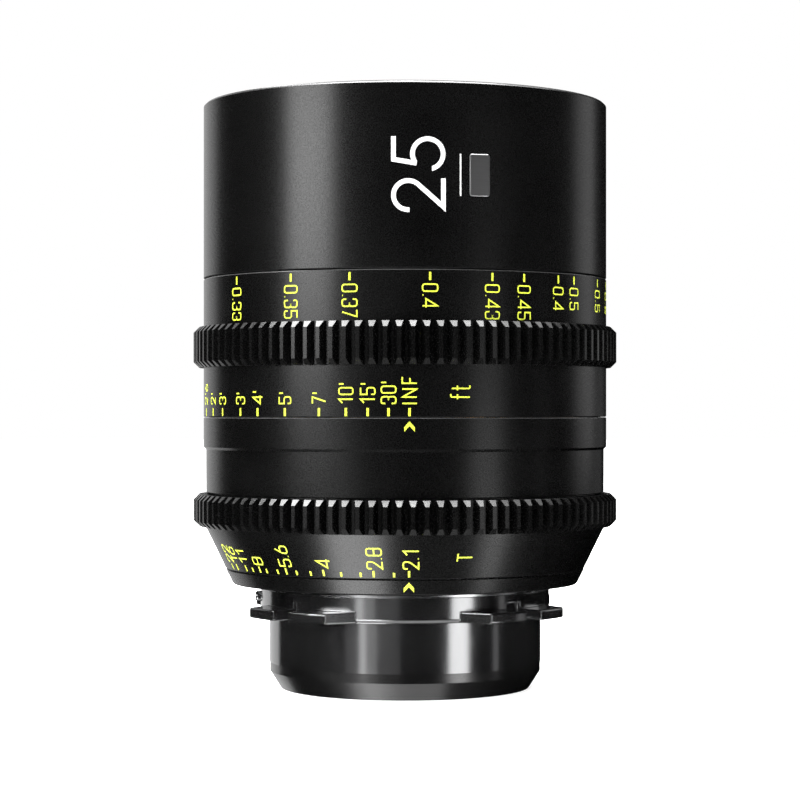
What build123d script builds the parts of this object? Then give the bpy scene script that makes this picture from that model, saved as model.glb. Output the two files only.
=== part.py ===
"""Cinema prime lens with a PL mount, standing on its rear ring with the front up.

Millimetres. The origin is the centre of the flange plane, +Z runs along the optical axis
towards the front, and the index marks face -Y. Angles are counted from the index marks,
anticlockwise seen from the front.
"""
from math import asin, cos, degrees, pi, radians, sin, sqrt
import os

from build123d import *

os.makedirs("parts", exist_ok=True)

# Outside of the barrels: the filter thread sets their radius
filter_thread_radius = 38.5
filter_wall = 1.5
waist_inset = 0.5
cone_top_inset = 0.3
cone_fall = 4.0
cover_inset = 0.1
cover_fall = 1.3
barrel_radius = filter_thread_radius + filter_wall
waist_radius = barrel_radius - waist_inset
cone_top_radius = barrel_radius - cone_top_inset
cone_foot_radius = cone_top_radius - cone_fall
cover_top_radius = cone_foot_radius - cover_inset
cover_foot_radius = cover_top_radius - cover_fall

# Heights of the barrels, stacked from the flange plane towards the front
neck_height = 4.9
shim_thickness = 0.4
seat_height = 0.5
cover_height = 2.9
iris_seam = 0.1
cone_height = 8.4
iris_gear_width = 6.3
waist_seam = 0.3
waist_height = 8.5
step_height = 0.5
shoulder_height = 5.8
focus_seam = 0.1
focus_rear_height = 9.7
focus_gear_width = 8.0
focus_front_height = 9.4
front_seam = 0.2
front_height = 34.3
seam_chamfer = 0.15
rim_chamfer = 0.4

shim_z = neck_height
seat_z = shim_z + shim_thickness
cover_z = seat_z + seat_height
cover_top_z = cover_z + cover_height
iris_ring_z = cover_top_z + iris_seam
iris_gear_z = iris_ring_z + cone_height
iris_top_z = iris_gear_z + iris_gear_width
middle_z = iris_top_z + waist_seam
step_z = middle_z + waist_height
middle_top_z = step_z + step_height + shoulder_height
focus_ring_z = middle_top_z + focus_seam
focus_gear_z = focus_ring_z + focus_rear_height
focus_gear_top_z = focus_gear_z + focus_gear_width
focus_top_z = focus_gear_top_z + focus_front_height
front_z = focus_top_z + front_seam
front_top_z = front_z + front_height

# Clearances
running_clearance = 0.05
slip_clearance = 0.02
flange_clearance = 0.1
moving_gap = 0.3
overrun = 1.0

# Gear rings: 0.8 module teeth, as many as stand just clear of the barrel, their tips cut back at both ends
gear_module = 0.8
gear_root_stand = 0.2
gear_dedendum_share = 1.25
gear_flank_angle = 20.0
gear_tip_chamfer = 1.1
gear_phase_angle = 0.86
gear_dedendum = gear_module * gear_dedendum_share
gear_teeth = round(2 * (barrel_radius + gear_root_stand + gear_dedendum) / gear_module)
gear_pitch_radius = gear_module * gear_teeth / 2
gear_tip_radius = gear_pitch_radius + gear_module
gear_root_radius = gear_pitch_radius - gear_dedendum

# PL mount
spigot_radius = 27.0
spigot_wall = 2.8
spigot_length = 9.7
spigot_bore_radius = spigot_radius - spigot_wall
wing_reach = 7.0
wing_thickness = 2.0
wing_chamfer = 0.25
wing_count = 4
wing_centre_angle = 45.0
wing_half_angle = 17.8
wing_root_half_angle = 25.0
wing_radius = spigot_radius + wing_reach
neck_step = 1.7
neck_chamfer = 0.6
neck_radius = spigot_radius + neck_step
notch_width = 4.0
notch_height = 3.3
notch_floor_inset = 0.7
notch_floor_radius = neck_radius - notch_floor_inset
mount_web_z = 1.4
mount_web_width = 4.0
mount_web_bore_radius = spigot_bore_radius - mount_web_width
shim_proud = 0.6
shim_radius = neck_radius + shim_proud
mount_screw_circle_radius = (mount_web_bore_radius + spigot_bore_radius) / 2
mount_screw_start_angle = 45.0
stud_radius = 1.05
stud_z = 3.1
stud_proud = 1.1
stud_depth = 2.4
stud_angle = -88.0

# Rear guard ring, screwed into the end of the spigot
guard_length = 5.2
guard_straight = 1.8
guard_inset = 0.1
guard_taper = 2.2
guard_wall = 3.2
guard_thread_length = 3.2
guard_radius = spigot_radius - guard_inset
guard_end_radius = guard_radius - guard_taper
guard_bore_radius = spigot_bore_radius - guard_wall
guard_bottom_z = -spigot_length - guard_length

# Walls between the barrel's outside and the glass, one inside the other
focus_ring_wall = 3.0
sleeve_wall = 3.0
tube_wall = 3.0
block_wall = 3.5
sleeve_radius = barrel_radius - focus_ring_wall
tube_radius = sleeve_radius - sleeve_wall
tube_bore_radius = tube_radius - tube_wall
block_radius = tube_bore_radius - running_clearance
block_bore_radius = tube_bore_radius - block_wall

# Rear cover
cover_bore_radius = mount_web_bore_radius
cover_screw_circle_radius = (tube_bore_radius + tube_radius) / 2
cover_screw_start_angle = 0.0

# Middle barrel, and the main tube's flange that carries it
middle_wall = 2.4
middle_web_thickness = 3.0
middle_web_rise = 4.5
waist_wall = 2.5
middle_screw_inset = 1.6
washer_recess_depth = 0.3
washer_recess_width = 1.3
washer_thickness = 0.2
tube_waist_flange_thickness = 2.0
middle_bore_radius = barrel_radius - middle_wall
middle_rear_bore_radius = waist_radius - waist_wall
tube_waist_flange_radius = middle_bore_radius - flange_clearance
middle_screw_circle_radius = tube_waist_flange_radius - middle_screw_inset
middle_web_z = middle_z + middle_web_rise
waist_flange_z = middle_web_z + middle_web_thickness
waist_flange_top_z = waist_flange_z + tube_waist_flange_thickness

# Countersunk screws
small_screw_radius = 0.8
small_head_radius = 1.4
screw_radius = 1.0
head_radius = 1.75
socket_radius = 0.55
socket_depth = 0.6
barrel_screw_count = 4
screw_depth = 2.4

# Front barrel, its stepped baffle and the main tube's flange that carries it
filter_thread_length = 6.0
filter_mouth_chamfer = 0.3
front_wall = 3.0
front_web_thickness = 2.7
front_screw_inset = 1.3
tube_front_flange_thickness = 3.3
baffle_lip_inset = 0.6
baffle_lip_thickness = 0.7
baffle_wall = 0.6
baffle_fall = 3.9
baffle_gap = 0.5
baffle_steps = 7
stair_upright_share = 0.45
front_bore_radius = barrel_radius - front_wall
front_web_bore_radius = tube_radius
tube_front_flange_radius = front_bore_radius - flange_clearance
tube_front_z = front_z + tube_front_flange_thickness
front_screw_circle_radius = tube_front_flange_radius - front_screw_inset
front_web_z = tube_front_z
front_web_top_z = front_web_z + front_web_thickness
thread_floor_z = front_top_z - filter_thread_length
baffle_lip_radius = filter_thread_radius - baffle_lip_inset
baffle_mouth_radius = front_bore_radius - baffle_wall
baffle_throat_radius = baffle_mouth_radius - baffle_fall

# Inlaid badge plate on the front barrel
badge_width = 4.0
badge_height = 7.8
badge_corner_radius = 0.5
badge_thickness = 0.7
badge_proud = 0.03
badge_angle = 18.9
badge_rise = 17.1
badge_z = front_z + badge_rise

# Focus ring, its cam sleeve and its stop
focus_turn_angle = 270.0
focus_travel = 2.7
sleeve_foot_gap = 0.7
sleeve_end_gap = 0.4
groove_floor_wall = 1.1
roller_radius = 1.6
roller_end_gap = 0.1
roller_count = 3
roller_start_angle = 13.0
roller_first_rise = 6.0
roller_pitch = 6.6
slot_end_clearance = 0.3
key_count = 3
key_start_angle = 30.0
key_width = 3.0
key_length = 5.0
key_drop = 4.8
key_depth = 1.1
stop_pin_radius = 1.2
stop_notch_height = 2.8
stop_pin_angle = 140.0
stop_pin_reach = 1.8
stop_clearance = 0.1
full_turn = 360.0
sleeve_foot_z = waist_flange_top_z + sleeve_foot_gap
sleeve_top_z = front_z - sleeve_end_gap
groove_floor_radius = sleeve_radius - groove_floor_wall
roller_first_z = sleeve_foot_z + roller_first_rise
key_z = focus_top_z - key_drop
stop_pin_z = sleeve_foot_z + stop_notch_height / 2
cam_lead = focus_travel * full_turn / focus_turn_angle

# Optical block: lens barrel and the screws its rollers turn on
block_rear_drop = 2.2
shelf_rise = 20.0
shelf_thickness = 3.0
shelf_ledge = 1.0
roller_screw_radius = 0.8
roller_head_radius = 1.2
roller_head_height = 0.7
roller_screw_depth = 2.6
block_rear_z = iris_gear_z - block_rear_drop
block_front_z = front_z
shelf_z = block_rear_z + shelf_rise

# Front cell
front_cell_plug_length = 5.0
front_cell_flange_height = 3.6
front_cell_gap = 0.5
front_cell_wall = 1.5
front_cell_reach = 13.4
front_cell_radius = front_web_bore_radius - front_cell_gap
front_ring_radius = front_cell_radius - front_cell_wall
front_ring_height = 3.0
front_ring_lip = 0.8
front_ring_mouth_radius = front_ring_radius - front_ring_lip
front_lens_step = 1.0
front_lens_rise = 4.6
front_lens_edge = 6.9
front_lens_rim = 1.4
front_lens_front_bulge = 5.4
front_lens_hollow = 8.0
front_lens_radius = front_ring_radius - front_lens_step
front_lens_front_aperture = front_lens_radius - front_lens_rim
front_lens_z = block_front_z + front_lens_rise
front_cell_top_z = front_lens_z + front_cell_reach
baffle_foot_z = front_cell_top_z + focus_travel + baffle_gap
second_lens_wall = 3.5
second_lens_drop = 3.5
second_lens_edge = 3.5
second_lens_front_rim = 2.5
second_lens_rear_rim = 6.0
second_lens_front_bulge = 2.5
second_lens_hollow = 4.0
second_seat_ledge = 3.5
front_spacer_width = 1.5
second_lens_radius = block_bore_radius - second_lens_wall
second_lens_front_aperture = second_lens_radius - second_lens_front_rim
second_lens_rear_aperture = second_lens_radius - second_lens_rear_rim
second_seat_bore_radius = second_lens_radius - second_seat_ledge
second_lens_z = block_front_z - second_lens_drop
front_lens_rear_aperture = second_lens_radius - front_spacer_width

# Middle cell, in front of the iris
middle_cell_height = 20.5
middle_cell_wall = 7.5
lens_rim = 1.5
third_lens_seat = 10.0
third_lens_edge = 5.0
third_lens_front_bulge = 3.0
third_lens_rear_bulge = 0.9
fourth_lens_step = 4.0
fourth_lens_edge = 3.6
fourth_lens_hollow = 0.8
cement_bulge = 1.6
fifth_lens_edge = 3.4
fifth_lens_rear_bulge = 0.7
middle_cell_floor = 1.6
middle_cell_ledge = 1.4
retainer_height = 2.4
lock_ring_height = 2.0
lock_ring_gap = 3.0
third_lens_radius = block_bore_radius - middle_cell_wall
third_lens_aperture = third_lens_radius - lens_rim
fourth_lens_radius = third_lens_radius - fourth_lens_step
fourth_lens_aperture = fourth_lens_radius - lens_rim
middle_cell_throat_radius = fourth_lens_radius - middle_cell_ledge
shelf_bore_radius = fourth_lens_radius - shelf_ledge
lock_ring_bore_radius = third_lens_radius + lock_ring_gap

# Iris
iris_turn_angle = 70.0
iris_closed_radius = 1.1
iris_plate_thickness = 1.6
blade_count = 9
blade_start_angle = 0.0
blade_thickness = 0.15
blade_gap = 0.1
blade_lap = 0.4
blade_heel_angle = -3.0
blade_ear_angle = 26.0
blade_end_angle = 105.0
blade_corner_radius = 0.8
blade_pivot_inset = 4.5
blade_width = 9.4
blade_back_width = 2.0
blade_ear_width = 1.2
blade_pin_radius = 0.5
blade_pivot_length = 1.2
blade_drive_angle = 22.0
blade_drive_depth = 2.0
blade_pivot_radius = block_bore_radius - blade_pivot_inset
blade_outer_radius = blade_pivot_radius - blade_back_width
blade_inner_radius = blade_outer_radius - blade_width
iris_open_radius = blade_inner_radius - blade_lap
blade_ear_radius = blade_pivot_radius + blade_ear_width
drive_ring_thickness = 2.4
drive_ring_inner_width = 9.5
drive_ring_bore_radius = blade_pivot_radius - drive_ring_inner_width
drive_slot_clearance = 0.1
iris_lock_ring_height = 1.5
iris_lock_ring_width = 1.9
driver_width = 3.0
driver_height = 2.0
driver_rise = 3.3
driver_wall = 2.0
driver_angle = 100.0
driver_screw_inset = 1.8
fork_inset = 4.8
fork_depth = 2.5
fork_prong_width = 2.5
fork_margin = 0.4
driver_z = iris_gear_z + driver_rise
driver_outer_radius = barrel_radius - driver_wall
driver_screw_radius = driver_outer_radius - driver_screw_inset
fork_inner_radius = block_bore_radius - fork_inset
fork_outer_radius = fork_inner_radius + fork_depth
fork_foot_z = driver_z - focus_travel - fork_margin
driver_inner_radius = fork_inner_radius + moving_gap

# Rear cell, behind the iris
rear_cell_gap = 0.8
rear_cell_wall = 2.4
rear_cell_inset = 1.7
rear_cell_flange_height = 2.5
rear_cell_nose_gap = 5.5
rear_cell_nose_height = 10.8
rear_bore_drop = 4.5
rear_throat_ledge = 1.4
nose_step = 3.0
nose_seat_rise = 1.0
rear_cell_screw_count = 3
sixth_lens_edge = 4.0
sixth_lens_hollow = 0.9
seventh_lens_edge = 3.0
seventh_lens_front_bulge = 1.4
eighth_lens_edge = 4.0
rear_lens_rim = 1.6
eighth_lens_front_bulge = 0.8
eighth_lens_rear_bulge = 2.2
rear_spacer_height = 4.5
ninth_lens_edge = 3.5
ninth_lens_hollow = 1.2
tenth_lens_edge = 4.0
tenth_lens_rear_bulge = 1.0
rear_retainer_taper = 0.8
rear_cell_radius = mount_web_bore_radius - rear_cell_gap
rear_cell_end_z = -spigot_length + rear_cell_inset
rear_cell_nose_radius = block_bore_radius - rear_cell_nose_gap
rear_bore_radius = rear_cell_radius - rear_cell_wall
rear_bore_top_z = block_rear_z - rear_bore_drop
nose_bore_radius = rear_bore_radius - nose_step
nose_seat_z = block_rear_z + nose_seat_rise
rear_throat_radius = nose_bore_radius - rear_throat_ledge
sixth_lens_aperture = nose_bore_radius - lens_rim
rear_lens_aperture = rear_bore_radius - rear_lens_rim
rear_retainer_mouth_radius = rear_lens_aperture + rear_retainer_taper


def bearing(angle):
    """The angle in the XY plane of an angle counted from the index marks."""
    return angle - 90.0


def radial_plane(angle, height, radius):
    """A plane square to the radius at this angle, with Y along the optical axis."""
    turn = radians(bearing(angle))
    outward = Vector(cos(turn), sin(turn), 0)
    return Plane(origin=outward * radius + Vector(0, 0, height), x_dir=(-sin(turn), cos(turn), 0),
                 z_dir=outward)


def axial_plane(angle):
    """A plane that holds the optical axis, with X outward at this angle and Y along the axis."""
    turn = radians(bearing(angle))
    return Plane(origin=(0, 0, 0), x_dir=(cos(turn), sin(turn), 0), z_dir=(sin(turn), -cos(turn), 0))


def turned(*points, mode=Mode.ADD):
    """Revolve a closed outline of (radius, height) points about the optical axis."""
    with BuildSketch(Plane.XZ) as outline:
        with BuildLine():
            Polyline(*points, close=True)
        make_face()
    revolve(outline.sketch, axis=Axis.Z, mode=mode)


def ring(inner, outer, low, high, mode=Mode.ADD):
    """A plain ring between two radii and two heights."""
    turned((inner, low), (outer, low), (outer, high), (inner, high), mode=mode)


def arc_window(inner, outer, low, high, start, sweep_angle):
    """Cut an arc-shaped window through a tube wall."""
    with BuildSketch(axial_plane(start)) as window:
        with BuildLine():
            Polyline((inner, low), (outer, low), (outer, high), (inner, high), close=True)
        make_face()
    revolve(window.sketch, axis=Axis.Z, revolution_arc=sweep_angle, mode=Mode.SUBTRACT)


def radial_pegs(angles, heights, radius, inner, outer, mode=Mode.ADD):
    """Round pegs, or holes for them, that point outward at each angle and height."""
    for angle, height in zip(angles, heights):
        with BuildSketch(radial_plane(angle, height, inner)) as peg:
            Circle(radius)
        extrude(peg.sketch, amount=outer - inner, mode=mode)


def countersunk(face_z, into, circle_radius, count, start, head, shank, length, mode=Mode.ADD):
    """Screws or their holes on a circle: the head's face lies at face_z and the shank runs
    towards the front where into is 1 and towards the rear where it is -1."""
    cone = head - shank
    low = face_z if into > 0 else face_z - cone
    foot = face_z if into > 0 else face_z - length
    base = (Align.CENTER, Align.CENTER, Align.MIN)
    with Locations((0, 0, low)):
        with PolarLocations(circle_radius, count, start_angle=bearing(start)):
            Cone(head if into > 0 else shank, shank if into > 0 else head, cone, align=base, mode=mode)
    with Locations((0, 0, foot)):
        with PolarLocations(circle_radius, count, start_angle=bearing(start)):
            Cylinder(shank, length, align=base, mode=mode)


def sockets(face_z, into, circle_radius, count, start):
    """Cut the hexagon sockets of screws on a circle."""
    with BuildSketch(Plane.XY.offset(face_z)) as hexagons:
        with PolarLocations(circle_radius, count, start_angle=bearing(start)):
            RegularPolygon(socket_radius, 6)
    extrude(hexagons.sketch, amount=into * socket_depth, mode=Mode.SUBTRACT)


def spherical_edge(aperture, height, bulge):
    """Draw a spherical surface's section from the axis to its aperture."""
    sphere = (aperture ** 2 + bulge ** 2) / (2 * abs(bulge))
    half = aperture / 2
    rise = sqrt(sphere ** 2 - half ** 2) - (sphere - abs(bulge))
    side = 1 if bulge > 0 else -1
    ThreePointArc((0, height + bulge), (half, height + side * rise), (aperture, height))


def lens_element(edge, rear, thickness, rear_aperture, rear_bulge, front_aperture, front_bulge):
    """Revolve one glass element. A bulge stands out of the glass, and a hollow is negative."""
    front = rear + thickness
    with BuildSketch(Plane.XZ) as section:
        with BuildLine():
            Line((0, rear - rear_bulge), (0, front + front_bulge))
            spherical_edge(front_aperture, front, front_bulge)
            Polyline((front_aperture, front), (edge, front), (edge, rear), (rear_aperture, rear))
            spherical_edge(rear_aperture, rear, -rear_bulge)
        make_face()
    revolve(section.sketch, axis=Axis.Z)


def gear_spaces(low, high):
    """Cut the spaces between the teeth of a gear ring that is already turned to its tip radius."""
    flank = sin(radians(gear_flank_angle)) / cos(radians(gear_flank_angle))
    half_pitch_space = pi * gear_module / 4
    top = gear_tip_radius + overrun
    half_top = half_pitch_space + flank * (top - gear_pitch_radius)
    half_root = half_pitch_space - flank * (gear_pitch_radius - gear_root_radius)
    tooth_angle = full_turn / gear_teeth
    with BuildSketch(Plane.XY.offset(low - overrun)) as spaces:
        with PolarLocations(0, gear_teeth, start_angle=bearing(gear_phase_angle + tooth_angle / 2)):
            Polygon((gear_root_radius, -half_root), (top, -half_top), (top, half_top),
                    (gear_root_radius, half_root), align=None)
    extrude(spaces.sketch, amount=high - low + 2 * overrun, mode=Mode.SUBTRACT)


def window_half_angle(half_width, radius):
    """Half the angle that a bar of this half width takes at this radius."""
    return degrees(asin(half_width / radius))


roller_angles = [roller_start_angle + full_turn * number / roller_count for number in range(roller_count)]
roller_levels = [roller_first_z + roller_pitch * number for number in range(roller_count)]


# Rear ring of the mount: matte black, screwed into the spigot's end
with BuildPart() as rear_guard_ring:
    guard_thread_radius = spigot_bore_radius - slip_clearance
    turned((guard_bore_radius, guard_bottom_z), (guard_end_radius, guard_bottom_z),
           (guard_radius, -spigot_length - guard_straight), (guard_radius, -spigot_length),
           (guard_thread_radius, -spigot_length),
           (guard_thread_radius, -spigot_length + guard_thread_length),
           (guard_bore_radius, -spigot_length + guard_thread_length))
rear_guard_ring.part.label = "rear_guard_ring"
export_step(rear_guard_ring.part, "parts/rear_guard_ring.step")

# PL mount: spigot, flange seat, four wings with centre notches, and the inner web for its screws
with BuildPart() as pl_mount:
    turned((spigot_bore_radius, -spigot_length), (spigot_radius, -spigot_length), (spigot_radius, 0),
           (neck_radius - neck_chamfer, 0), (neck_radius, neck_chamfer), (neck_radius, neck_height),
           (mount_web_bore_radius, neck_height), (mount_web_bore_radius, mount_web_z),
           (spigot_bore_radius, mount_web_z))
    wing_centres = [wing_centre_angle + full_turn * step / wing_count for step in range(wing_count)]
    root_x = spigot_radius * cos(radians(wing_root_half_angle))
    root_y = spigot_radius * sin(radians(wing_root_half_angle))
    tip_x = wing_radius * cos(radians(wing_half_angle))
    tip_y = wing_radius * sin(radians(wing_half_angle))
    foot_x = neck_radius * cos(radians(wing_root_half_angle))
    foot_y = neck_radius * sin(radians(wing_root_half_angle))
    with BuildSketch():
        for centre in wing_centres:
            with Locations(Location((0, 0, 0), (0, 0, bearing(centre)))):
                with BuildLine(mode=Mode.PRIVATE) as wing_line:
                    Polyline((root_x, root_y), (foot_x, foot_y), (tip_x, tip_y))
                    ThreePointArc((tip_x, tip_y), (wing_radius, 0), (tip_x, -tip_y))
                    Polyline((tip_x, -tip_y), (foot_x, -foot_y), (root_x, -root_y), (root_x, root_y))
                add(make_face(wing_line.edges(), mode=Mode.PRIVATE))
    extrude(amount=wing_thickness)
    round_edges = edges().filter_by(GeomType.CIRCLE)
    chamfer([edge for edge in round_edges if abs(edge.radius - wing_radius) < wing_chamfer], wing_chamfer)
    for centre in wing_centres:
        with BuildSketch(radial_plane(centre, 0, notch_floor_radius)):
            with Locations((0, notch_height / 2)):
                Rectangle(notch_width, notch_height)
        extrude(amount=wing_radius, mode=Mode.SUBTRACT)
    countersunk(mount_web_z, 1, mount_screw_circle_radius, barrel_screw_count, mount_screw_start_angle,
                head_radius + slip_clearance, screw_radius + slip_clearance, neck_height, Mode.SUBTRACT)
    stud_seat_radius = neck_radius - stud_depth
    radial_pegs([stud_angle], [stud_z], stud_radius + slip_clearance, stud_seat_radius, wing_radius,
                Mode.SUBTRACT)
pl_mount.part.label = "pl_mount"
export_step(pl_mount.part, "parts/pl_mount.step")

# Index stud on the mount's neck
with BuildPart() as index_stud:
    radial_pegs([stud_angle], [stud_z], stud_radius, stud_seat_radius, neck_radius + stud_proud)
    outer_rim = edges().filter_by(GeomType.CIRCLE).sort_by_distance((0, 0, stud_z))[-1]
    fillet(outer_rim, stud_radius / 2)
index_stud.part.label = "index_stud"
export_step(index_stud.part, "parts/index_stud.step")

# Steel shim that sets the flange distance
with BuildPart() as mount_shim:
    ring(mount_web_bore_radius, shim_radius, shim_z, seat_z)
    with BuildSketch(Plane.XY.offset(shim_z)):
        with PolarLocations(mount_screw_circle_radius, barrel_screw_count,
                            start_angle=bearing(mount_screw_start_angle)):
            Circle(screw_radius + slip_clearance)
    extrude(amount=shim_thickness, mode=Mode.SUBTRACT)
mount_shim.part.label = "mount_shim"
export_step(mount_shim.part, "parts/mount_shim.step")

# Rear cover: the fixed cone with the aperture index, which carries the mount
with BuildPart() as rear_cover:
    seat_radius = shim_radius
    turned((cover_bore_radius, seat_z), (seat_radius, seat_z), (seat_radius, cover_z),
           (cover_foot_radius - seam_chamfer, cover_z), (cover_foot_radius, cover_z + seam_chamfer),
           (cover_top_radius, cover_top_z - seam_chamfer), (cover_top_radius - seam_chamfer, cover_top_z),
           (cover_bore_radius, cover_top_z))
    with BuildSketch(Plane.XY.offset(seat_z)):
        with PolarLocations(mount_screw_circle_radius, barrel_screw_count,
                            start_angle=bearing(mount_screw_start_angle)):
            Circle(screw_radius + slip_clearance)
    extrude(amount=screw_depth + slip_clearance, mode=Mode.SUBTRACT)
    countersunk(cover_z, 1, cover_screw_circle_radius, barrel_screw_count, cover_screw_start_angle,
                head_radius + slip_clearance, screw_radius + slip_clearance, cover_height, Mode.SUBTRACT)
rear_cover.part.label = "rear_cover"
export_step(rear_cover.part, "parts/rear_cover.step")

# Screws that hold the mount and the shim to the rear cover
with BuildPart() as mount_screws:
    mount_screw_length = seat_z - mount_web_z + screw_depth
    countersunk(mount_web_z, 1, mount_screw_circle_radius, barrel_screw_count, mount_screw_start_angle,
                head_radius, screw_radius, mount_screw_length)
    sockets(mount_web_z, 1, mount_screw_circle_radius, barrel_screw_count, mount_screw_start_angle)
mount_screws.part.label = "mount_screws"
export_step(mount_screws.part, "parts/mount_screws.step")

# Screws that hold the rear cover to the main tube
with BuildPart() as rear_cover_screws:
    cover_screw_length = cover_height + screw_depth
    countersunk(cover_z, 1, cover_screw_circle_radius, barrel_screw_count, cover_screw_start_angle,
                head_radius, screw_radius, cover_screw_length)
    sockets(cover_z, 1, cover_screw_circle_radius, barrel_screw_count, cover_screw_start_angle)
rear_cover_screws.part.label = "rear_cover_screws"
export_step(rear_cover_screws.part, "parts/rear_cover_screws.step")

# Main tube: the fixed backbone with straight slots for the cam rollers and a window for the iris driver
driver_half_width = driver_width / 2 + stop_clearance
roller_slot_half_width = roller_radius + running_clearance
with BuildPart() as main_tube:
    turned((tube_bore_radius, cover_top_z), (tube_radius, cover_top_z), (tube_radius, waist_flange_z),
           (tube_waist_flange_radius, waist_flange_z),
           (tube_waist_flange_radius, waist_flange_top_z), (tube_radius, waist_flange_top_z),
           (tube_radius, front_z),
           (tube_front_flange_radius, front_z), (tube_front_flange_radius, tube_front_z),
           (tube_bore_radius, tube_front_z))
    for angle, level in zip(roller_angles, roller_levels):
        slot_length = focus_travel + 2 * (roller_radius + slot_end_clearance)
        with BuildSketch(radial_plane(angle, level + focus_travel / 2, tube_bore_radius - overrun)):
            SlotOverall(slot_length, 2 * roller_slot_half_width, rotation=90)
        extrude(amount=tube_radius - tube_bore_radius + 2 * overrun, mode=Mode.SUBTRACT)
    tube_window_margin = window_half_angle(driver_half_width, tube_bore_radius)
    arc_window(tube_bore_radius - overrun, tube_radius + overrun, driver_z - stop_clearance,
               driver_z + driver_height + stop_clearance, driver_angle - tube_window_margin,
               iris_turn_angle + 2 * tube_window_margin)
    with BuildSketch(Plane.XY.offset(cover_top_z)):
        with PolarLocations(cover_screw_circle_radius, barrel_screw_count,
                            start_angle=bearing(cover_screw_start_angle)):
            Circle(screw_radius + slip_clearance)
    extrude(amount=screw_depth + slip_clearance, mode=Mode.SUBTRACT)
    with BuildSketch(Plane.XY.offset(waist_flange_z)):
        with PolarLocations(middle_screw_circle_radius, barrel_screw_count, start_angle=bearing(0)):
            Circle(small_screw_radius + slip_clearance)
    extrude(amount=tube_waist_flange_thickness, mode=Mode.SUBTRACT)
    with BuildSketch(Plane.XY.offset(tube_front_z)):
        with PolarLocations(front_screw_circle_radius, barrel_screw_count, start_angle=bearing(0)):
            Circle(small_screw_radius + slip_clearance)
    extrude(amount=-screw_depth - slip_clearance, mode=Mode.SUBTRACT)
    stop_pin_seat_radius = tube_radius - stop_pin_reach
    radial_pegs([stop_pin_angle], [stop_pin_z], stop_pin_radius + slip_clearance, stop_pin_seat_radius,
                tube_radius + overrun, Mode.SUBTRACT)
main_tube.part.label = "main_tube"
export_step(main_tube.part, "parts/main_tube.step")

# Middle barrel: the fixed shell between the two geared rings
with BuildPart() as middle_barrel:
    washer_recess_radius = middle_bore_radius + washer_recess_width
    turned((middle_rear_bore_radius, middle_z), (waist_radius - seam_chamfer, middle_z),
           (waist_radius, middle_z + seam_chamfer), (waist_radius, step_z),
           (barrel_radius, step_z + step_height), (barrel_radius, middle_top_z - seam_chamfer),
           (barrel_radius - seam_chamfer, middle_top_z), (washer_recess_radius, middle_top_z),
           (washer_recess_radius, middle_top_z - washer_recess_depth),
           (middle_bore_radius, middle_top_z - washer_recess_depth), (middle_bore_radius, waist_flange_z),
           (tube_radius + slip_clearance, waist_flange_z), (tube_radius + slip_clearance, middle_web_z),
           (middle_rear_bore_radius, middle_web_z))
    countersunk(middle_web_z, 1, middle_screw_circle_radius, barrel_screw_count, 0,
                small_head_radius + slip_clearance, small_screw_radius + slip_clearance,
                middle_web_thickness, Mode.SUBTRACT)
middle_barrel.part.label = "middle_barrel"
export_step(middle_barrel.part, "parts/middle_barrel.step")

# Screws that hold the middle barrel to the main tube's flange
with BuildPart() as middle_barrel_screws:
    middle_screw_length = middle_web_thickness + tube_waist_flange_thickness
    countersunk(middle_web_z, 1, middle_screw_circle_radius, barrel_screw_count, 0, small_head_radius,
                small_screw_radius, middle_screw_length)
    sockets(middle_web_z, 1, middle_screw_circle_radius, barrel_screw_count, 0)
middle_barrel_screws.part.label = "middle_barrel_screws"
export_step(middle_barrel_screws.part, "parts/middle_barrel_screws.step")

# Iris ring: cone with the aperture scale and a gear, turning on the main tube
ring_bore_radius = tube_radius + running_clearance
with BuildPart() as iris_ring:
    tip_foot_radius = gear_tip_radius - gear_tip_chamfer
    turned((ring_bore_radius, iris_ring_z), (cone_foot_radius - seam_chamfer, iris_ring_z),
           (cone_foot_radius, iris_ring_z + seam_chamfer), (cone_top_radius, iris_gear_z),
           (tip_foot_radius, iris_gear_z), (gear_tip_radius, iris_gear_z + gear_tip_chamfer),
           (gear_tip_radius, iris_top_z - gear_tip_chamfer), (tip_foot_radius, iris_top_z),
           (ring_bore_radius, iris_top_z))
    gear_spaces(iris_gear_z, iris_top_z)
    with BuildSketch(radial_plane(driver_angle, driver_z + driver_height / 2, tube_bore_radius)):
        Rectangle(driver_width + 2 * slip_clearance, driver_height + 2 * slip_clearance)
    extrude(amount=driver_outer_radius + slip_clearance - tube_bore_radius, mode=Mode.SUBTRACT)
    countersunk(iris_top_z, -1, driver_screw_radius, 1, driver_angle, small_head_radius + slip_clearance,
                small_screw_radius + slip_clearance, iris_top_z - driver_z + screw_depth, Mode.SUBTRACT)
iris_ring.part.label = "iris_ring"
export_step(iris_ring.part, "parts/iris_ring.step")

# Iris driver: the bar that carries the ring's turn through the tube's window to the drive ring's fork
with BuildPart() as iris_driver:
    with BuildSketch(radial_plane(driver_angle, driver_z + driver_height / 2, driver_inner_radius)):
        Rectangle(driver_width, driver_height)
    extrude(amount=driver_outer_radius - driver_inner_radius)
    countersunk(iris_top_z, -1, driver_screw_radius, 1, driver_angle, small_head_radius,
                small_screw_radius + slip_clearance, iris_top_z - driver_z + screw_depth, Mode.SUBTRACT)
iris_driver.part.label = "iris_driver"
export_step(iris_driver.part, "parts/iris_driver.step")

# Screw that holds the driver in the iris ring
with BuildPart() as iris_driver_screw:
    countersunk(iris_top_z, -1, driver_screw_radius, 1, driver_angle, small_head_radius, small_screw_radius,
                iris_top_z - driver_z + screw_depth - slip_clearance)
    sockets(iris_top_z, -1, driver_screw_radius, 1, driver_angle)
iris_driver_screw.part.label = "iris_driver_screw"
export_step(iris_driver_screw.part, "parts/iris_driver_screw.step")

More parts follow.
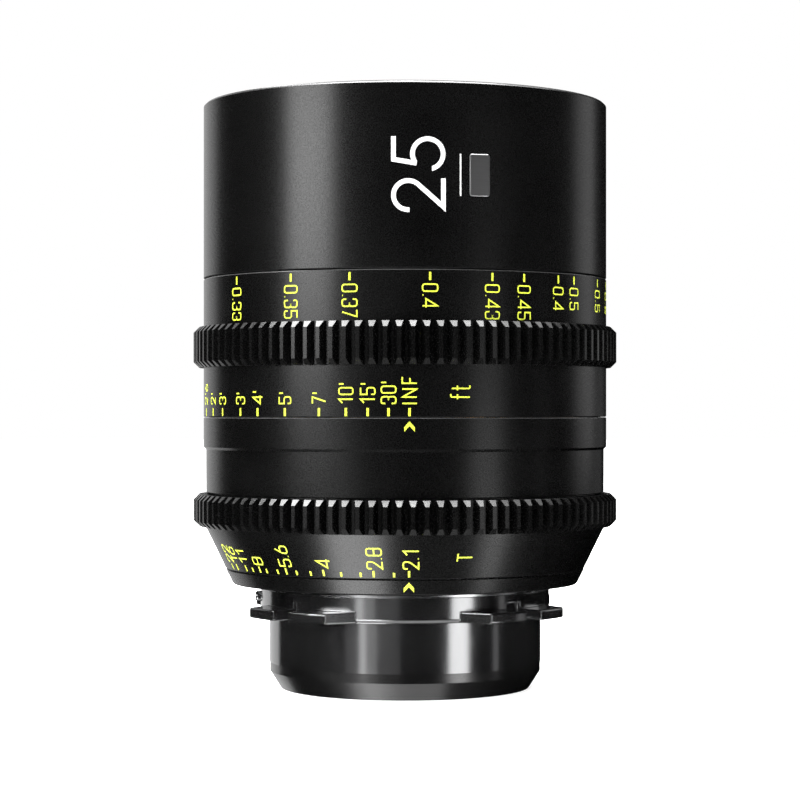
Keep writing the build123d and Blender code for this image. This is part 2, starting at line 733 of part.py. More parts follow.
# Thin washers that the geared rings turn against
with BuildPart() as iris_washer:
    iris_washer_gap = (waist_seam - washer_thickness) / 2
    ring(middle_rear_bore_radius + slip_clearance, waist_radius - washer_recess_width,
         iris_top_z + iris_washer_gap, iris_top_z + iris_washer_gap + washer_thickness)
iris_washer.part.label = "iris_washer"
export_step(iris_washer.part, "parts/iris_washer.step")

with BuildPart() as focus_rear_washer:
    ring(middle_bore_radius + slip_clearance, washer_recess_radius - slip_clearance,
         middle_top_z - washer_recess_depth, focus_ring_z - running_clearance)
focus_rear_washer.part.label = "focus_rear_washer"
export_step(focus_rear_washer.part, "parts/focus_rear_washer.step")

with BuildPart() as focus_front_washer:
    ring(ring_bore_radius, tube_front_flange_radius, sleeve_top_z + running_clearance, front_z)
focus_front_washer.part.label = "focus_front_washer"
export_step(focus_front_washer.part, "parts/focus_front_washer.step")

# Pin that stops the focus ring at both ends of its turn
with BuildPart() as focus_stop_pin:
    radial_pegs([stop_pin_angle], [stop_pin_z], stop_pin_radius, stop_pin_seat_radius,
                sleeve_radius - moving_gap)
focus_stop_pin.part.label = "focus_stop_pin"
export_step(focus_stop_pin.part, "parts/focus_stop_pin.step")

# Focus ring: outer ring with both distance scales and a gear
focus_bore_radius = sleeve_radius + slip_clearance
key_angles = [key_start_angle + full_turn * step / key_count for step in range(key_count)]
key_inner_radius = sleeve_radius - key_depth
key_outer_radius = sleeve_radius + key_depth
with BuildPart() as focus_ring:
    turned((focus_bore_radius, focus_ring_z), (barrel_radius - seam_chamfer, focus_ring_z),
           (barrel_radius, focus_ring_z + seam_chamfer), (barrel_radius, focus_gear_z),
           (tip_foot_radius, focus_gear_z), (gear_tip_radius, focus_gear_z + gear_tip_chamfer),
           (gear_tip_radius, focus_gear_top_z - gear_tip_chamfer), (tip_foot_radius, focus_gear_top_z),
           (barrel_radius, focus_gear_top_z), (barrel_radius, focus_top_z - seam_chamfer),
           (barrel_radius - seam_chamfer, focus_top_z), (focus_bore_radius, focus_top_z))
    gear_spaces(focus_gear_z, focus_gear_top_z)
    for angle in key_angles:
        with BuildSketch(radial_plane(angle, key_z, key_inner_radius)):
            Rectangle(key_width + 2 * slip_clearance, key_length + 2 * slip_clearance)
        extrude(amount=key_outer_radius + slip_clearance - key_inner_radius, mode=Mode.SUBTRACT)
focus_ring.part.label = "focus_ring"
export_step(focus_ring.part, "parts/focus_ring.step")

# Helical groove that lifts one cam roller by the focus travel over the ring's turn
groove_end_angle = window_half_angle(roller_radius + slot_end_clearance, ring_bore_radius)
groove_sweep_angle = focus_turn_angle + 2 * groove_end_angle
groove_inner_radius = tube_radius - overrun
groove_middle_radius = (groove_inner_radius + groove_floor_radius) / 2
groove_path = Helix(cam_lead, cam_lead * groove_sweep_angle / full_turn, groove_middle_radius, lefthand=True)
groove_section = Plane(groove_path @ 0, x_dir=(1, 0, 0), z_dir=groove_path % 0) * Rectangle(
    groove_floor_radius - groove_inner_radius, 2 * roller_slot_half_width)
groove = sweep(groove_section, path=groove_path, is_frenet=True)

# Cam sleeve inside the focus ring: three helical grooves, key slots and the notch for the stop pin
with BuildPart() as focus_cam_sleeve:
    ring(ring_bore_radius, sleeve_radius, sleeve_foot_z, sleeve_top_z)
    groove_drop = cam_lead * groove_end_angle / full_turn
    for angle, level in zip(roller_angles, roller_levels):
        with Locations(Location((0, 0, level - groove_drop), (0, 0, bearing(angle + groove_end_angle)))):
            add(groove, mode=Mode.SUBTRACT)
    for angle in key_angles:
        with BuildSketch(radial_plane(angle, key_z, key_inner_radius - slip_clearance)):
            Rectangle(key_width + 2 * slip_clearance, key_length + 2 * slip_clearance)
        extrude(amount=key_depth + overrun, mode=Mode.SUBTRACT)
    stop_margin = window_half_angle(stop_pin_radius + stop_clearance, tube_radius)
    arc_window(tube_radius - overrun, sleeve_radius + overrun, sleeve_foot_z - overrun,
               sleeve_foot_z + stop_notch_height, stop_pin_angle - focus_turn_angle - stop_margin,
               focus_turn_angle + 2 * stop_margin)
focus_cam_sleeve.part.label = "focus_cam_sleeve"
export_step(focus_cam_sleeve.part, "parts/focus_cam_sleeve.step")

# Keys that lock the focus ring to its cam sleeve
with BuildPart() as focus_keys:
    for angle in key_angles:
        with BuildSketch(radial_plane(angle, key_z, key_inner_radius)):
            Rectangle(key_width, key_length)
        extrude(amount=key_outer_radius - key_inner_radius)
focus_keys.part.label = "focus_keys"
export_step(focus_keys.part, "parts/focus_keys.step")

# Front barrel: the outer shell with the filter thread's bore
badge_pocket_radius = barrel_radius - badge_thickness
with BuildPart() as front_barrel:
    turned((front_bore_radius, front_z), (barrel_radius - seam_chamfer, front_z),
           (barrel_radius, front_z + seam_chamfer), (barrel_radius, front_top_z - rim_chamfer),
           (barrel_radius - rim_chamfer, front_top_z),
           (filter_thread_radius + filter_mouth_chamfer, front_top_z),
           (filter_thread_radius, front_top_z - filter_mouth_chamfer),
           (filter_thread_radius, thread_floor_z),
           (baffle_lip_radius + slip_clearance, thread_floor_z),
           (baffle_lip_radius + slip_clearance, thread_floor_z - baffle_lip_thickness),
           (front_bore_radius, thread_floor_z - baffle_lip_thickness), (front_bore_radius, front_web_top_z),
           (front_web_bore_radius, front_web_top_z), (front_web_bore_radius, front_web_z),
           (front_bore_radius, front_web_z))
    countersunk(front_web_top_z, -1, front_screw_circle_radius, barrel_screw_count, 0,
                small_head_radius + slip_clearance, small_screw_radius + slip_clearance,
                front_web_thickness, Mode.SUBTRACT)
    with BuildSketch(radial_plane(badge_angle, badge_z, 0)):
        RectangleRounded(badge_width + 2 * slip_clearance, badge_height + 2 * slip_clearance,
                         badge_corner_radius)
    badge_hole = extrude(amount=barrel_radius + overrun, mode=Mode.PRIVATE)
    badge_core = Cylinder(badge_pocket_radius, front_top_z + overrun,
                          align=(Align.CENTER, Align.CENTER, Align.MIN), mode=Mode.PRIVATE)
    add(badge_hole - badge_core, mode=Mode.SUBTRACT)
front_barrel.part.label = "front_barrel"
export_step(front_barrel.part, "parts/front_barrel.step")

# Blank badge plate, curved to the barrel and let into its pocket
with BuildPart() as format_badge:
    ring(badge_pocket_radius, barrel_radius + badge_proud, badge_z - badge_height, badge_z + badge_height)
    with BuildSketch(radial_plane(badge_angle, badge_z, 0)):
        RectangleRounded(badge_width, badge_height, badge_corner_radius)
    extrude(amount=barrel_radius + overrun, mode=Mode.INTERSECT)
format_badge.part.label = "format_badge"
export_step(format_badge.part, "parts/format_badge.step")

# Screws that hold the front barrel to the main tube, reached before the baffle goes in
with BuildPart() as front_barrel_screws:
    front_screw_length = front_web_thickness + screw_depth
    countersunk(front_web_top_z, -1, front_screw_circle_radius, barrel_screw_count, 0, small_head_radius,
                small_screw_radius, front_screw_length)
    sockets(front_web_top_z, -1, front_screw_circle_radius, barrel_screw_count, 0)
front_barrel_screws.part.label = "front_barrel_screws"
export_step(front_barrel_screws.part, "parts/front_barrel_screws.step")

# Stepped light-trap baffle in the front barrel
with BuildPart() as front_baffle:
    step_fall = (thread_floor_z - baffle_foot_z) / baffle_steps
    step_run = (baffle_mouth_radius - baffle_throat_radius) / baffle_steps
    stair = []
    for step in range(baffle_steps):
        stair_radius = baffle_mouth_radius - step * step_run
        stair.append((stair_radius, thread_floor_z - step * step_fall))
        stair.append((stair_radius, thread_floor_z - (step + stair_upright_share) * step_fall))
    turned(*stair, (baffle_throat_radius, baffle_foot_z),
           (front_bore_radius - slip_clearance, baffle_foot_z),
           (front_bore_radius - slip_clearance, thread_floor_z - baffle_lip_thickness),
           (baffle_lip_radius, thread_floor_z - baffle_lip_thickness), (baffle_lip_radius, thread_floor_z))
front_baffle.part.label = "front_baffle"
export_step(front_baffle.part, "parts/front_baffle.step")

# Lens barrel: the sliding carrier of all the glass and the iris
cell_fit_radius = block_bore_radius - slip_clearance
driver_travel_foot_z = driver_z - focus_travel - moving_gap
with BuildPart() as lens_barrel:
    turned((block_bore_radius, block_rear_z), (block_radius, block_rear_z), (block_radius, block_front_z),
           (block_bore_radius, block_front_z), (block_bore_radius, shelf_z + shelf_thickness),
           (shelf_bore_radius, shelf_z + shelf_thickness), (shelf_bore_radius, shelf_z),
           (block_bore_radius, shelf_z))
    radial_pegs(roller_angles, roller_levels, roller_screw_radius + slip_clearance,
                block_radius - roller_screw_depth, block_radius + overrun, Mode.SUBTRACT)
    block_window_margin = window_half_angle(driver_half_width + moving_gap, block_bore_radius)
    arc_window(block_bore_radius - overrun, block_radius + overrun, driver_travel_foot_z,
               driver_z + driver_height + moving_gap, driver_angle - block_window_margin,
               iris_turn_angle + 2 * block_window_margin)
    with BuildSketch(Plane.XY.offset(block_rear_z)):
        with PolarLocations((block_bore_radius + block_radius) / 2, rear_cell_screw_count,
                            start_angle=bearing(0)):
            Circle(small_screw_radius + slip_clearance)
    extrude(amount=screw_depth + slip_clearance, mode=Mode.SUBTRACT)
lens_barrel.part.label = "lens_barrel"
export_step(lens_barrel.part, "parts/lens_barrel.step")

# Rollers that follow the straight slots and the helical grooves, and the screws they turn on
roller_outer_radius = groove_floor_radius - roller_end_gap
with BuildPart() as cam_rollers:
    radial_pegs(roller_angles, roller_levels, roller_radius, block_radius, roller_outer_radius)
    radial_pegs(roller_angles, roller_levels, roller_screw_radius + slip_clearance, block_radius,
                roller_outer_radius, Mode.SUBTRACT)
    radial_pegs(roller_angles, roller_levels, roller_head_radius + slip_clearance,
                roller_outer_radius - roller_head_height, roller_outer_radius, Mode.SUBTRACT)
cam_rollers.part.label = "cam_rollers"
export_step(cam_rollers.part, "parts/cam_rollers.step")

with BuildPart() as roller_screws:
    radial_pegs(roller_angles, roller_levels, roller_screw_radius, block_radius - roller_screw_depth,
                roller_outer_radius - roller_head_height)
    radial_pegs(roller_angles, roller_levels, roller_head_radius, roller_outer_radius - roller_head_height,
                roller_outer_radius)
roller_screws.part.label = "roller_screws"
export_step(roller_screws.part, "parts/roller_screws.step")

# Front cell: carries the two front elements
front_cell_foot_z = block_front_z - front_cell_plug_length
front_lens_edge_z = front_lens_z + front_lens_edge
front_lens_bore = front_lens_radius + slip_clearance
second_lens_bore = second_lens_radius + slip_clearance
with BuildPart() as front_cell:
    turned((second_seat_bore_radius, front_cell_foot_z), (cell_fit_radius, front_cell_foot_z),
           (cell_fit_radius, block_front_z), (block_radius, block_front_z),
           (block_radius, block_front_z + front_cell_flange_height),
           (front_cell_radius, block_front_z + front_cell_flange_height),
           (front_cell_radius, front_cell_top_z - seam_chamfer),
           (front_cell_radius - seam_chamfer, front_cell_top_z), (front_ring_radius, front_cell_top_z),
           (front_ring_radius, front_lens_edge_z), (front_lens_bore, front_lens_edge_z),
           (front_lens_bore, front_lens_z), (second_lens_bore, front_lens_z),
           (second_lens_bore, second_lens_z), (second_seat_bore_radius, second_lens_z))
front_cell.part.label = "front_cell"
export_step(front_cell.part, "parts/front_cell.step")

# Front element: a large negative meniscus
with BuildPart() as front_element:
    lens_element(front_lens_radius, front_lens_z, front_lens_edge, front_lens_rear_aperture,
                 -front_lens_hollow, front_lens_front_aperture, front_lens_front_bulge)
front_element.part.label = "front_element"
export_step(front_element.part, "parts/front_element.step")

# Retaining ring over the front element
with BuildPart() as front_retaining_ring:
    turned((front_lens_front_aperture, front_lens_edge_z),
           (front_ring_radius - slip_clearance, front_lens_edge_z),
           (front_ring_radius - slip_clearance, front_lens_edge_z + front_ring_height),
           (front_ring_mouth_radius, front_lens_edge_z + front_ring_height))
front_retaining_ring.part.label = "front_retaining_ring"
export_step(front_retaining_ring.part, "parts/front_retaining_ring.step")

# Second element and the spacer between it and the front element
with BuildPart() as second_element:
    lens_element(second_lens_radius, second_lens_z, second_lens_edge, second_lens_rear_aperture,
                 -second_lens_hollow, second_lens_front_aperture, second_lens_front_bulge)
second_element.part.label = "second_element"
export_step(second_element.part, "parts/second_element.step")

with BuildPart() as front_spacer:
    ring(front_lens_rear_aperture, second_lens_radius, second_lens_z + second_lens_edge, front_lens_z)
front_spacer.part.label = "front_spacer"
export_step(front_spacer.part, "parts/front_spacer.step")

# Middle cell: carries three elements in front of the iris
middle_cell_z = shelf_z + shelf_thickness
middle_cell_top_z = middle_cell_z + middle_cell_height
third_lens_z = middle_cell_z + third_lens_seat
third_lens_top_z = third_lens_z + third_lens_edge
fifth_lens_z = middle_cell_z + middle_cell_floor
fourth_lens_z = fifth_lens_z + fifth_lens_edge
third_lens_bore = third_lens_radius + slip_clearance
fourth_lens_bore = fourth_lens_radius + slip_clearance
with BuildPart() as middle_cell:
    turned((middle_cell_throat_radius, middle_cell_z), (cell_fit_radius, middle_cell_z),
           (cell_fit_radius, middle_cell_top_z), (third_lens_bore, middle_cell_top_z),
           (third_lens_bore, third_lens_z), (fourth_lens_bore, third_lens_z),
           (fourth_lens_bore, fifth_lens_z), (middle_cell_throat_radius, fifth_lens_z))
middle_cell.part.label = "middle_cell"
export_step(middle_cell.part, "parts/middle_cell.step")

with BuildPart() as third_element:
    lens_element(third_lens_radius, third_lens_z, third_lens_edge, fourth_lens_aperture,
                 third_lens_rear_bulge, third_lens_aperture, third_lens_front_bulge)
third_element.part.label = "third_element"
export_step(third_element.part, "parts/third_element.step")

# Cemented pair behind the third element
with BuildPart() as fourth_element:
    lens_element(fourth_lens_radius, fourth_lens_z, fourth_lens_edge, fourth_lens_aperture, cement_bulge,
                 fourth_lens_aperture, -fourth_lens_hollow)
fourth_element.part.label = "fourth_element"
export_step(fourth_element.part, "parts/fourth_element.step")

with BuildPart() as fifth_element:
    lens_element(fourth_lens_radius, fifth_lens_z, fifth_lens_edge, fourth_lens_aperture,
                 fifth_lens_rear_bulge, fourth_lens_aperture, -cement_bulge)
fifth_element.part.label = "fifth_element"
export_step(fifth_element.part, "parts/fifth_element.step")

# Ring that retains the third element, and the lock ring over the whole middle cell
with BuildPart() as third_retaining_ring:
    ring(third_lens_aperture, third_lens_radius, third_lens_top_z, third_lens_top_z + retainer_height)
third_retaining_ring.part.label = "third_retaining_ring"
export_step(third_retaining_ring.part, "parts/third_retaining_ring.step")

with BuildPart() as middle_lock_ring:
    ring(lock_ring_bore_radius, cell_fit_radius, middle_cell_top_z, middle_cell_top_z + lock_ring_height)
middle_lock_ring.part.label = "middle_lock_ring"
export_step(middle_lock_ring.part, "parts/middle_lock_ring.step")

# Iris plate behind the shelf: fixed full aperture and the holes for the blades' pivots
iris_plate_z = shelf_z - iris_plate_thickness
blade_pitch = blade_thickness + blade_gap
drive_ring_top_z = iris_plate_z - blade_gap - blade_count * blade_pitch
drive_ring_z = drive_ring_top_z - drive_ring_thickness
blade_swing_angle = 2 * degrees(asin((blade_inner_radius - iris_closed_radius) / (2 * blade_pivot_radius)))
with BuildPart() as iris_plate:
    ring(iris_open_radius, cell_fit_radius, iris_plate_z, shelf_z)
    with BuildSketch(Plane.XY.offset(iris_plate_z)):
        with PolarLocations(blade_pivot_radius, blade_count, start_angle=bearing(blade_start_angle)):
            Circle(blade_pin_radius + running_clearance)
    extrude(amount=iris_plate_thickness, mode=Mode.SUBTRACT)
iris_plate.part.label = "iris_plate"
export_step(iris_plate.part, "parts/iris_plate.step")


def drive_pin_place(share):
    """Where a blade's drive pin stands in the drive ring's own frame at a share of the full turn,
    for the blade whose pivot is on the X axis."""
    swing = radians(blade_swing_angle * share)
    back = radians(-iris_turn_angle * share)
    rest = radians(blade_drive_angle)
    arm_x = blade_pivot_radius * cos(rest) - blade_pivot_radius
    arm_y = blade_pivot_radius * sin(rest)
    x = blade_pivot_radius + arm_x * cos(swing) - arm_y * sin(swing)
    y = arm_x * sin(swing) + arm_y * cos(swing)
    return x * cos(back) - y * sin(back), x * sin(back) + y * cos(back)


# Iris drive ring: a curved slot for each blade's drive pin, and the fork that the driver turns
fork_gap_half = driver_width / 2 + running_clearance
with BuildPart() as iris_drive_ring:
    ring(drive_ring_bore_radius, block_bore_radius - running_clearance, drive_ring_z, drive_ring_top_z)
    with BuildLine(mode=Mode.PRIVATE) as slot_line:
        ThreePointArc(drive_pin_place(0), drive_pin_place(1 / 2), drive_pin_place(1))
    slot_angles = [full_turn * step / blade_count for step in range(blade_count)]
    for angle in slot_angles:
        with BuildSketch(Plane.XY.offset(drive_ring_z)):
            with Locations(Location((0, 0, 0), (0, 0, bearing(blade_start_angle + angle)))):
                SlotArc(slot_line.wires()[0], 2 * (blade_pin_radius + drive_slot_clearance))
        extrude(amount=drive_ring_thickness, mode=Mode.SUBTRACT)
    for side in (-1, 1):
        prong_middle = side * (fork_gap_half + fork_prong_width / 2)
        with BuildSketch(radial_plane(driver_angle, (fork_foot_z + drive_ring_z) / 2, fork_inner_radius)):
            with Locations((prong_middle, 0)):
                Rectangle(fork_prong_width, drive_ring_z - fork_foot_z)
        extrude(amount=fork_outer_radius - fork_inner_radius)
iris_drive_ring.part.label = "iris_drive_ring"
export_step(iris_drive_ring.part, "parts/iris_drive_ring.step")

# Ring that keeps the drive ring in the lens barrel
iris_lock_top_z = drive_ring_z - blade_gap
with BuildPart() as iris_lock_ring:
    ring(cell_fit_radius - iris_lock_ring_width, cell_fit_radius, iris_lock_top_z - iris_lock_ring_height,
         iris_lock_top_z)
iris_lock_ring.part.label = "iris_lock_ring"
export_step(iris_lock_ring.part, "parts/iris_lock_ring.step")


def on_circle(radius, angle):
    """A point of a blade's outline, with the blade's pivot at angle zero."""
    return radius * cos(radians(angle)), radius * sin(radians(angle))


def blade_arc(radius, start, end):
    """An arc of a blade's outline about the optical axis."""
    ThreePointArc(on_circle(radius, start), on_circle(radius, (start + end) / 2), on_circle(radius, end))


# Iris blades: each a thin curved leaf with a pivot pin to the front and a drive pin to the rear
for number in range(blade_count):
    blade_z = iris_plate_z - (number + 1) * blade_pitch
    turn = bearing(blade_start_angle) + full_turn * number / blade_count
    leaf_plane = Plane.XY.rotated((0, 0, turn))
    pivot_top_z = iris_plate_z + blade_pivot_length
    pin_foot_z = drive_ring_top_z - blade_drive_depth
    with BuildPart() as iris_blade:
        with BuildSketch(leaf_plane.offset(blade_z)) as leaf:
            with BuildLine():
                blade_arc(blade_inner_radius, blade_heel_angle, blade_end_angle)
                Line(on_circle(blade_inner_radius, blade_end_angle),
                     on_circle(blade_outer_radius, blade_end_angle))
                blade_arc(blade_outer_radius, blade_end_angle, blade_ear_angle)
                Line(on_circle(blade_outer_radius, blade_ear_angle),
                     on_circle(blade_ear_radius, blade_ear_angle))
                blade_arc(blade_ear_radius, blade_ear_angle, blade_heel_angle)
                Line(on_circle(blade_ear_radius, blade_heel_angle),
                     on_circle(blade_inner_radius, blade_heel_angle))
            make_face()
            fillet(leaf.vertices(), blade_corner_radius)
        extrude(amount=blade_thickness)
        with BuildSketch(leaf_plane.offset(blade_z)):
            with Locations((blade_pivot_radius, 0)):
                Circle(blade_pin_radius)
        extrude(amount=pivot_top_z - blade_z)
        with BuildSketch(leaf_plane.offset(pin_foot_z)):
            with Locations(on_circle(blade_pivot_radius, blade_drive_angle)):
                Circle(blade_pin_radius)
        extrude(amount=blade_z + blade_thickness - pin_foot_z)
    iris_blade.part.label = f"iris_blade_{number + 1}"
    export_step(iris_blade.part, f"parts/iris_blade_{number + 1}.step")

# Rear cell: carries the five elements behind the iris
rear_flange_z = block_rear_z - rear_cell_flange_height
nose_top_z = block_rear_z + rear_cell_nose_height
rear_bore_fit = rear_bore_radius + slip_clearance
nose_bore_fit = nose_bore_radius + slip_clearance
rear_screw_circle_radius = (block_bore_radius + block_radius) / 2
with BuildPart() as rear_cell:
    turned((rear_bore_fit, rear_cell_end_z), (rear_cell_radius, rear_cell_end_z),
           (rear_cell_radius, rear_flange_z), (block_radius, rear_flange_z), (block_radius, block_rear_z),
           (rear_cell_nose_radius, block_rear_z), (rear_cell_nose_radius, nose_top_z),
           (nose_bore_fit, nose_top_z), (nose_bore_fit, nose_seat_z), (rear_throat_radius, nose_seat_z),
           (rear_throat_radius, rear_bore_top_z), (rear_bore_fit, rear_bore_top_z))
    countersunk(rear_flange_z, 1, rear_screw_circle_radius, rear_cell_screw_count, 0,
                small_head_radius + slip_clearance, small_screw_radius + slip_clearance,
                rear_cell_flange_height, Mode.SUBTRACT)
rear_cell.part.label = "rear_cell"
export_step(rear_cell.part, "parts/rear_cell.step")

with BuildPart() as rear_cell_screws:
    rear_screw_length = rear_cell_flange_height + screw_depth
    countersunk(rear_flange_z, 1, rear_screw_circle_radius, rear_cell_screw_count, 0, small_head_radius,
                small_screw_radius, rear_screw_length)
    sockets(rear_flange_z, 1, rear_screw_circle_radius, rear_cell_screw_count, 0)
rear_cell_screws.part.label = "rear_cell_screws"
export_step(rear_cell_screws.part, "parts/rear_cell_screws.step")

# Cemented pair in the rear cell's nose, and its ring
seventh_lens_z = nose_seat_z + sixth_lens_edge
nose_ring_z = seventh_lens_z + seventh_lens_edge
with BuildPart() as sixth_element:
    lens_element(nose_bore_radius, nose_seat_z, sixth_lens_edge, rear_throat_radius, -sixth_lens_hollow,
                 sixth_lens_aperture, -cement_bulge)
sixth_element.part.label = "sixth_element"
export_step(sixth_element.part, "parts/sixth_element.step")

with BuildPart() as seventh_element:
    lens_element(nose_bore_radius, seventh_lens_z, seventh_lens_edge, sixth_lens_aperture, cement_bulge,
                 sixth_lens_aperture, seventh_lens_front_bulge)
seventh_element.part.label = "seventh_element"
export_step(seventh_element.part, "parts/seventh_element.step")

with BuildPart() as nose_retaining_ring:
    ring(sixth_lens_aperture, nose_bore_radius, nose_ring_z, nose_ring_z + retainer_height)
nose_retaining_ring.part.label = "nose_retaining_ring"
export_step(nose_retaining_ring.part, "parts/nose_retaining_ring.step")

# Eighth element, spacer and the cemented rear pair, stacked in the rear cell's bore
eighth_lens_z = rear_bore_top_z - eighth_lens_edge
rear_spacer_z = eighth_lens_z - rear_spacer_height
ninth_lens_z = rear_spacer_z - ninth_lens_edge
tenth_lens_z = ninth_lens_z - tenth_lens_edge
with BuildPart() as eighth_element:
    lens_element(rear_bore_radius, eighth_lens_z, eighth_lens_edge, rear_lens_aperture,
                 eighth_lens_rear_bulge, rear_throat_radius, eighth_lens_front_bulge)
eighth_element.part.label = "eighth_element"
export_step(eighth_element.part, "parts/eighth_element.step")

with BuildPart() as rear_spacer:
    ring(rear_lens_aperture, rear_bore_radius, rear_spacer_z, eighth_lens_z)
rear_spacer.part.label = "rear_spacer"
export_step(rear_spacer.part, "parts/rear_spacer.step")

with BuildPart() as ninth_element:
    lens_element(rear_bore_radius, ninth_lens_z, ninth_lens_edge, rear_lens_aperture, cement_bulge,
                 rear_lens_aperture, -ninth_lens_hollow)
ninth_element.part.label = "ninth_element"
export_step(ninth_element.part, "parts/ninth_element.step")

with BuildPart() as tenth_element:
    lens_element(rear_bore_radius, tenth_lens_z, tenth_lens_edge, rear_lens_aperture,
                 tenth_lens_rear_bulge, rear_lens_aperture, -cement_bulge)
tenth_element.part.label = "tenth_element"
export_step(tenth_element.part, "parts/tenth_element.step")

# Ring that retains the rear elements
with BuildPart() as rear_retaining_ring:
    turned((rear_lens_aperture, tenth_lens_z), (rear_retainer_mouth_radius, rear_cell_end_z),
           (rear_bore_radius, rear_cell_end_z), (rear_bore_radius, tenth_lens_z))
rear_retaining_ring.part.label = "rear_retaining_ring"
export_step(rear_retaining_ring.part, "parts/rear_retaining_ring.step")

print("blade swing for each degree of the iris ring:", blade_swing_angle / iris_turn_angle)
print("block travel in millimetres for each radian of the focus ring:",
      focus_travel / radians(focus_turn_angle))
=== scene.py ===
"""A cinema prime lens with a PL mount, finished piece by piece in the order it is put together."""
from math import cos, pi, radians, sin

import bmesh
import bpy
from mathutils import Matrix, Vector


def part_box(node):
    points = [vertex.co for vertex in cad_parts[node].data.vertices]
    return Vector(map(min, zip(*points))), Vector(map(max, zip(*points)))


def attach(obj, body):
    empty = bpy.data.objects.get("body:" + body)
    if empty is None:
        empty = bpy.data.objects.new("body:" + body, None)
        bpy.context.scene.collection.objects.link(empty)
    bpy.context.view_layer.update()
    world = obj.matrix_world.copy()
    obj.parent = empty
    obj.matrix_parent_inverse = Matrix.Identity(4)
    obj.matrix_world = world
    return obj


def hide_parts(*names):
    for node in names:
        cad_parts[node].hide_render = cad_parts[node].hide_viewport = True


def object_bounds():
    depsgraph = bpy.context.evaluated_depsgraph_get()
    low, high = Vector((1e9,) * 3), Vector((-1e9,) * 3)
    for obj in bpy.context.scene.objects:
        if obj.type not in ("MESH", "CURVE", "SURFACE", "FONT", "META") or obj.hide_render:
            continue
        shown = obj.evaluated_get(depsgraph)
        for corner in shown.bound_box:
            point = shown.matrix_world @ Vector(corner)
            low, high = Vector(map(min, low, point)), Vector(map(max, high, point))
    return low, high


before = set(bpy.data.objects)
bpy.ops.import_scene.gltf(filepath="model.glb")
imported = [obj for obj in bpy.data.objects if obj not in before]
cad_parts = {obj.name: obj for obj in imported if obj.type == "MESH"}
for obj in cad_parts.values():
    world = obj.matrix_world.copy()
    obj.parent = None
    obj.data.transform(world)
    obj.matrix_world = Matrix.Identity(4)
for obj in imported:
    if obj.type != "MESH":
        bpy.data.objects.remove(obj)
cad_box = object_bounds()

# Camera and studio: the lens stands on its rear ring on a glowing white table, and the camera looks
# at it level with its middle. Only the softboxes are mirrored in it, not the white room or the
# table. Angles are in degrees, from the index marks towards +X.
camera_distance = 0.46725
camera_height = 0.0399
camera_azimuth = -1.2
camera_lens = 105.406
camera_shift = (-0.0062, 0.0134)
camera_clip_start = 0.01
white = (1, 1, 1, 1)
room_brightness = 1.0
table_z = cad_box[0][2]
table_radius = 4.0
table_steps = 96
table_colour = (0.8, 0.8, 0.8, 1)
table_roughness = 0.9
table_glow = 0.6
lamp_aim_height = 0.04
near, far = 0.6, 0.8


def around(azimuth, radius, height):
    """The point at this angle and distance from the optical axis."""
    turn = radians(azimuth)
    return Vector((radius * sin(turn), -radius * cos(turn), height))


camera_data = bpy.data.cameras.new("camera")
camera_data.lens = camera_lens
camera_data.shift_x, camera_data.shift_y = camera_shift
camera_data.clip_start = camera_clip_start
camera = bpy.data.objects.new("camera", camera_data)
camera.location = around(camera_azimuth, camera_distance, camera_height)
camera.rotation_euler = (pi / 2, 0, radians(camera_azimuth))
bpy.context.scene.collection.objects.link(camera)
bpy.context.scene.camera = camera
bpy.context.scene.view_settings.view_transform = "Standard"

room = bpy.data.worlds.new("studio")
bpy.context.scene.world = room
room.use_nodes = True
room.node_tree.nodes["Background"].inputs["Color"].default_value = white
room.node_tree.nodes["Background"].inputs["Strength"].default_value = room_brightness
room.cycles_visibility.glossy = False

table_mesh = bmesh.new()
table_rim = [table_mesh.verts.new(around(360 * step / table_steps, table_radius, table_z))
             for step in range(table_steps)]
table_mesh.faces.new(table_rim)
table_data = bpy.data.meshes.new("floor")
table_mesh.to_mesh(table_data)
table_mesh.free()
table = bpy.data.objects.new("floor", table_data)
table.visible_glossy = False
table.visible_shadow = False
bpy.context.scene.collection.objects.link(table)
table_white = bpy.data.materials.new("table_white")
table_white.use_nodes = True
table_shader = table_white.node_tree.nodes["Principled BSDF"]
table_shader.inputs["Base Color"].default_value = table_colour
table_shader.inputs["Roughness"].default_value = table_roughness
table_shader.inputs["Specular IOR Level"].default_value = 0.0
table_shader.inputs["Emission Color"].default_value = white
table_shader.inputs["Emission Strength"].default_value = table_glow
table_data.materials.append(table_white)


def softbox(name, azimuth, elevation, distance, width, length, radiance):
    """A rectangular light that faces the lens, with its place given as seen from the lens."""
    light = bpy.data.lights.new(name, "AREA")
    light.shape = "RECTANGLE"
    light.size = width
    light.size_y = length
    light.energy = radiance * pi * width * length
    lamp = bpy.data.objects.new(name, light)
    tilt = radians(elevation)
    lamp.location = around(azimuth, distance * cos(tilt), lamp_aim_height + distance * sin(tilt))
    aim = Vector((0, 0, lamp_aim_height)) - lamp.location
    lamp.rotation_euler = aim.to_track_quat("-Z", "Y").to_euler()
    lamp.visible_camera = False
    bpy.context.scene.collection.objects.link(lamp)


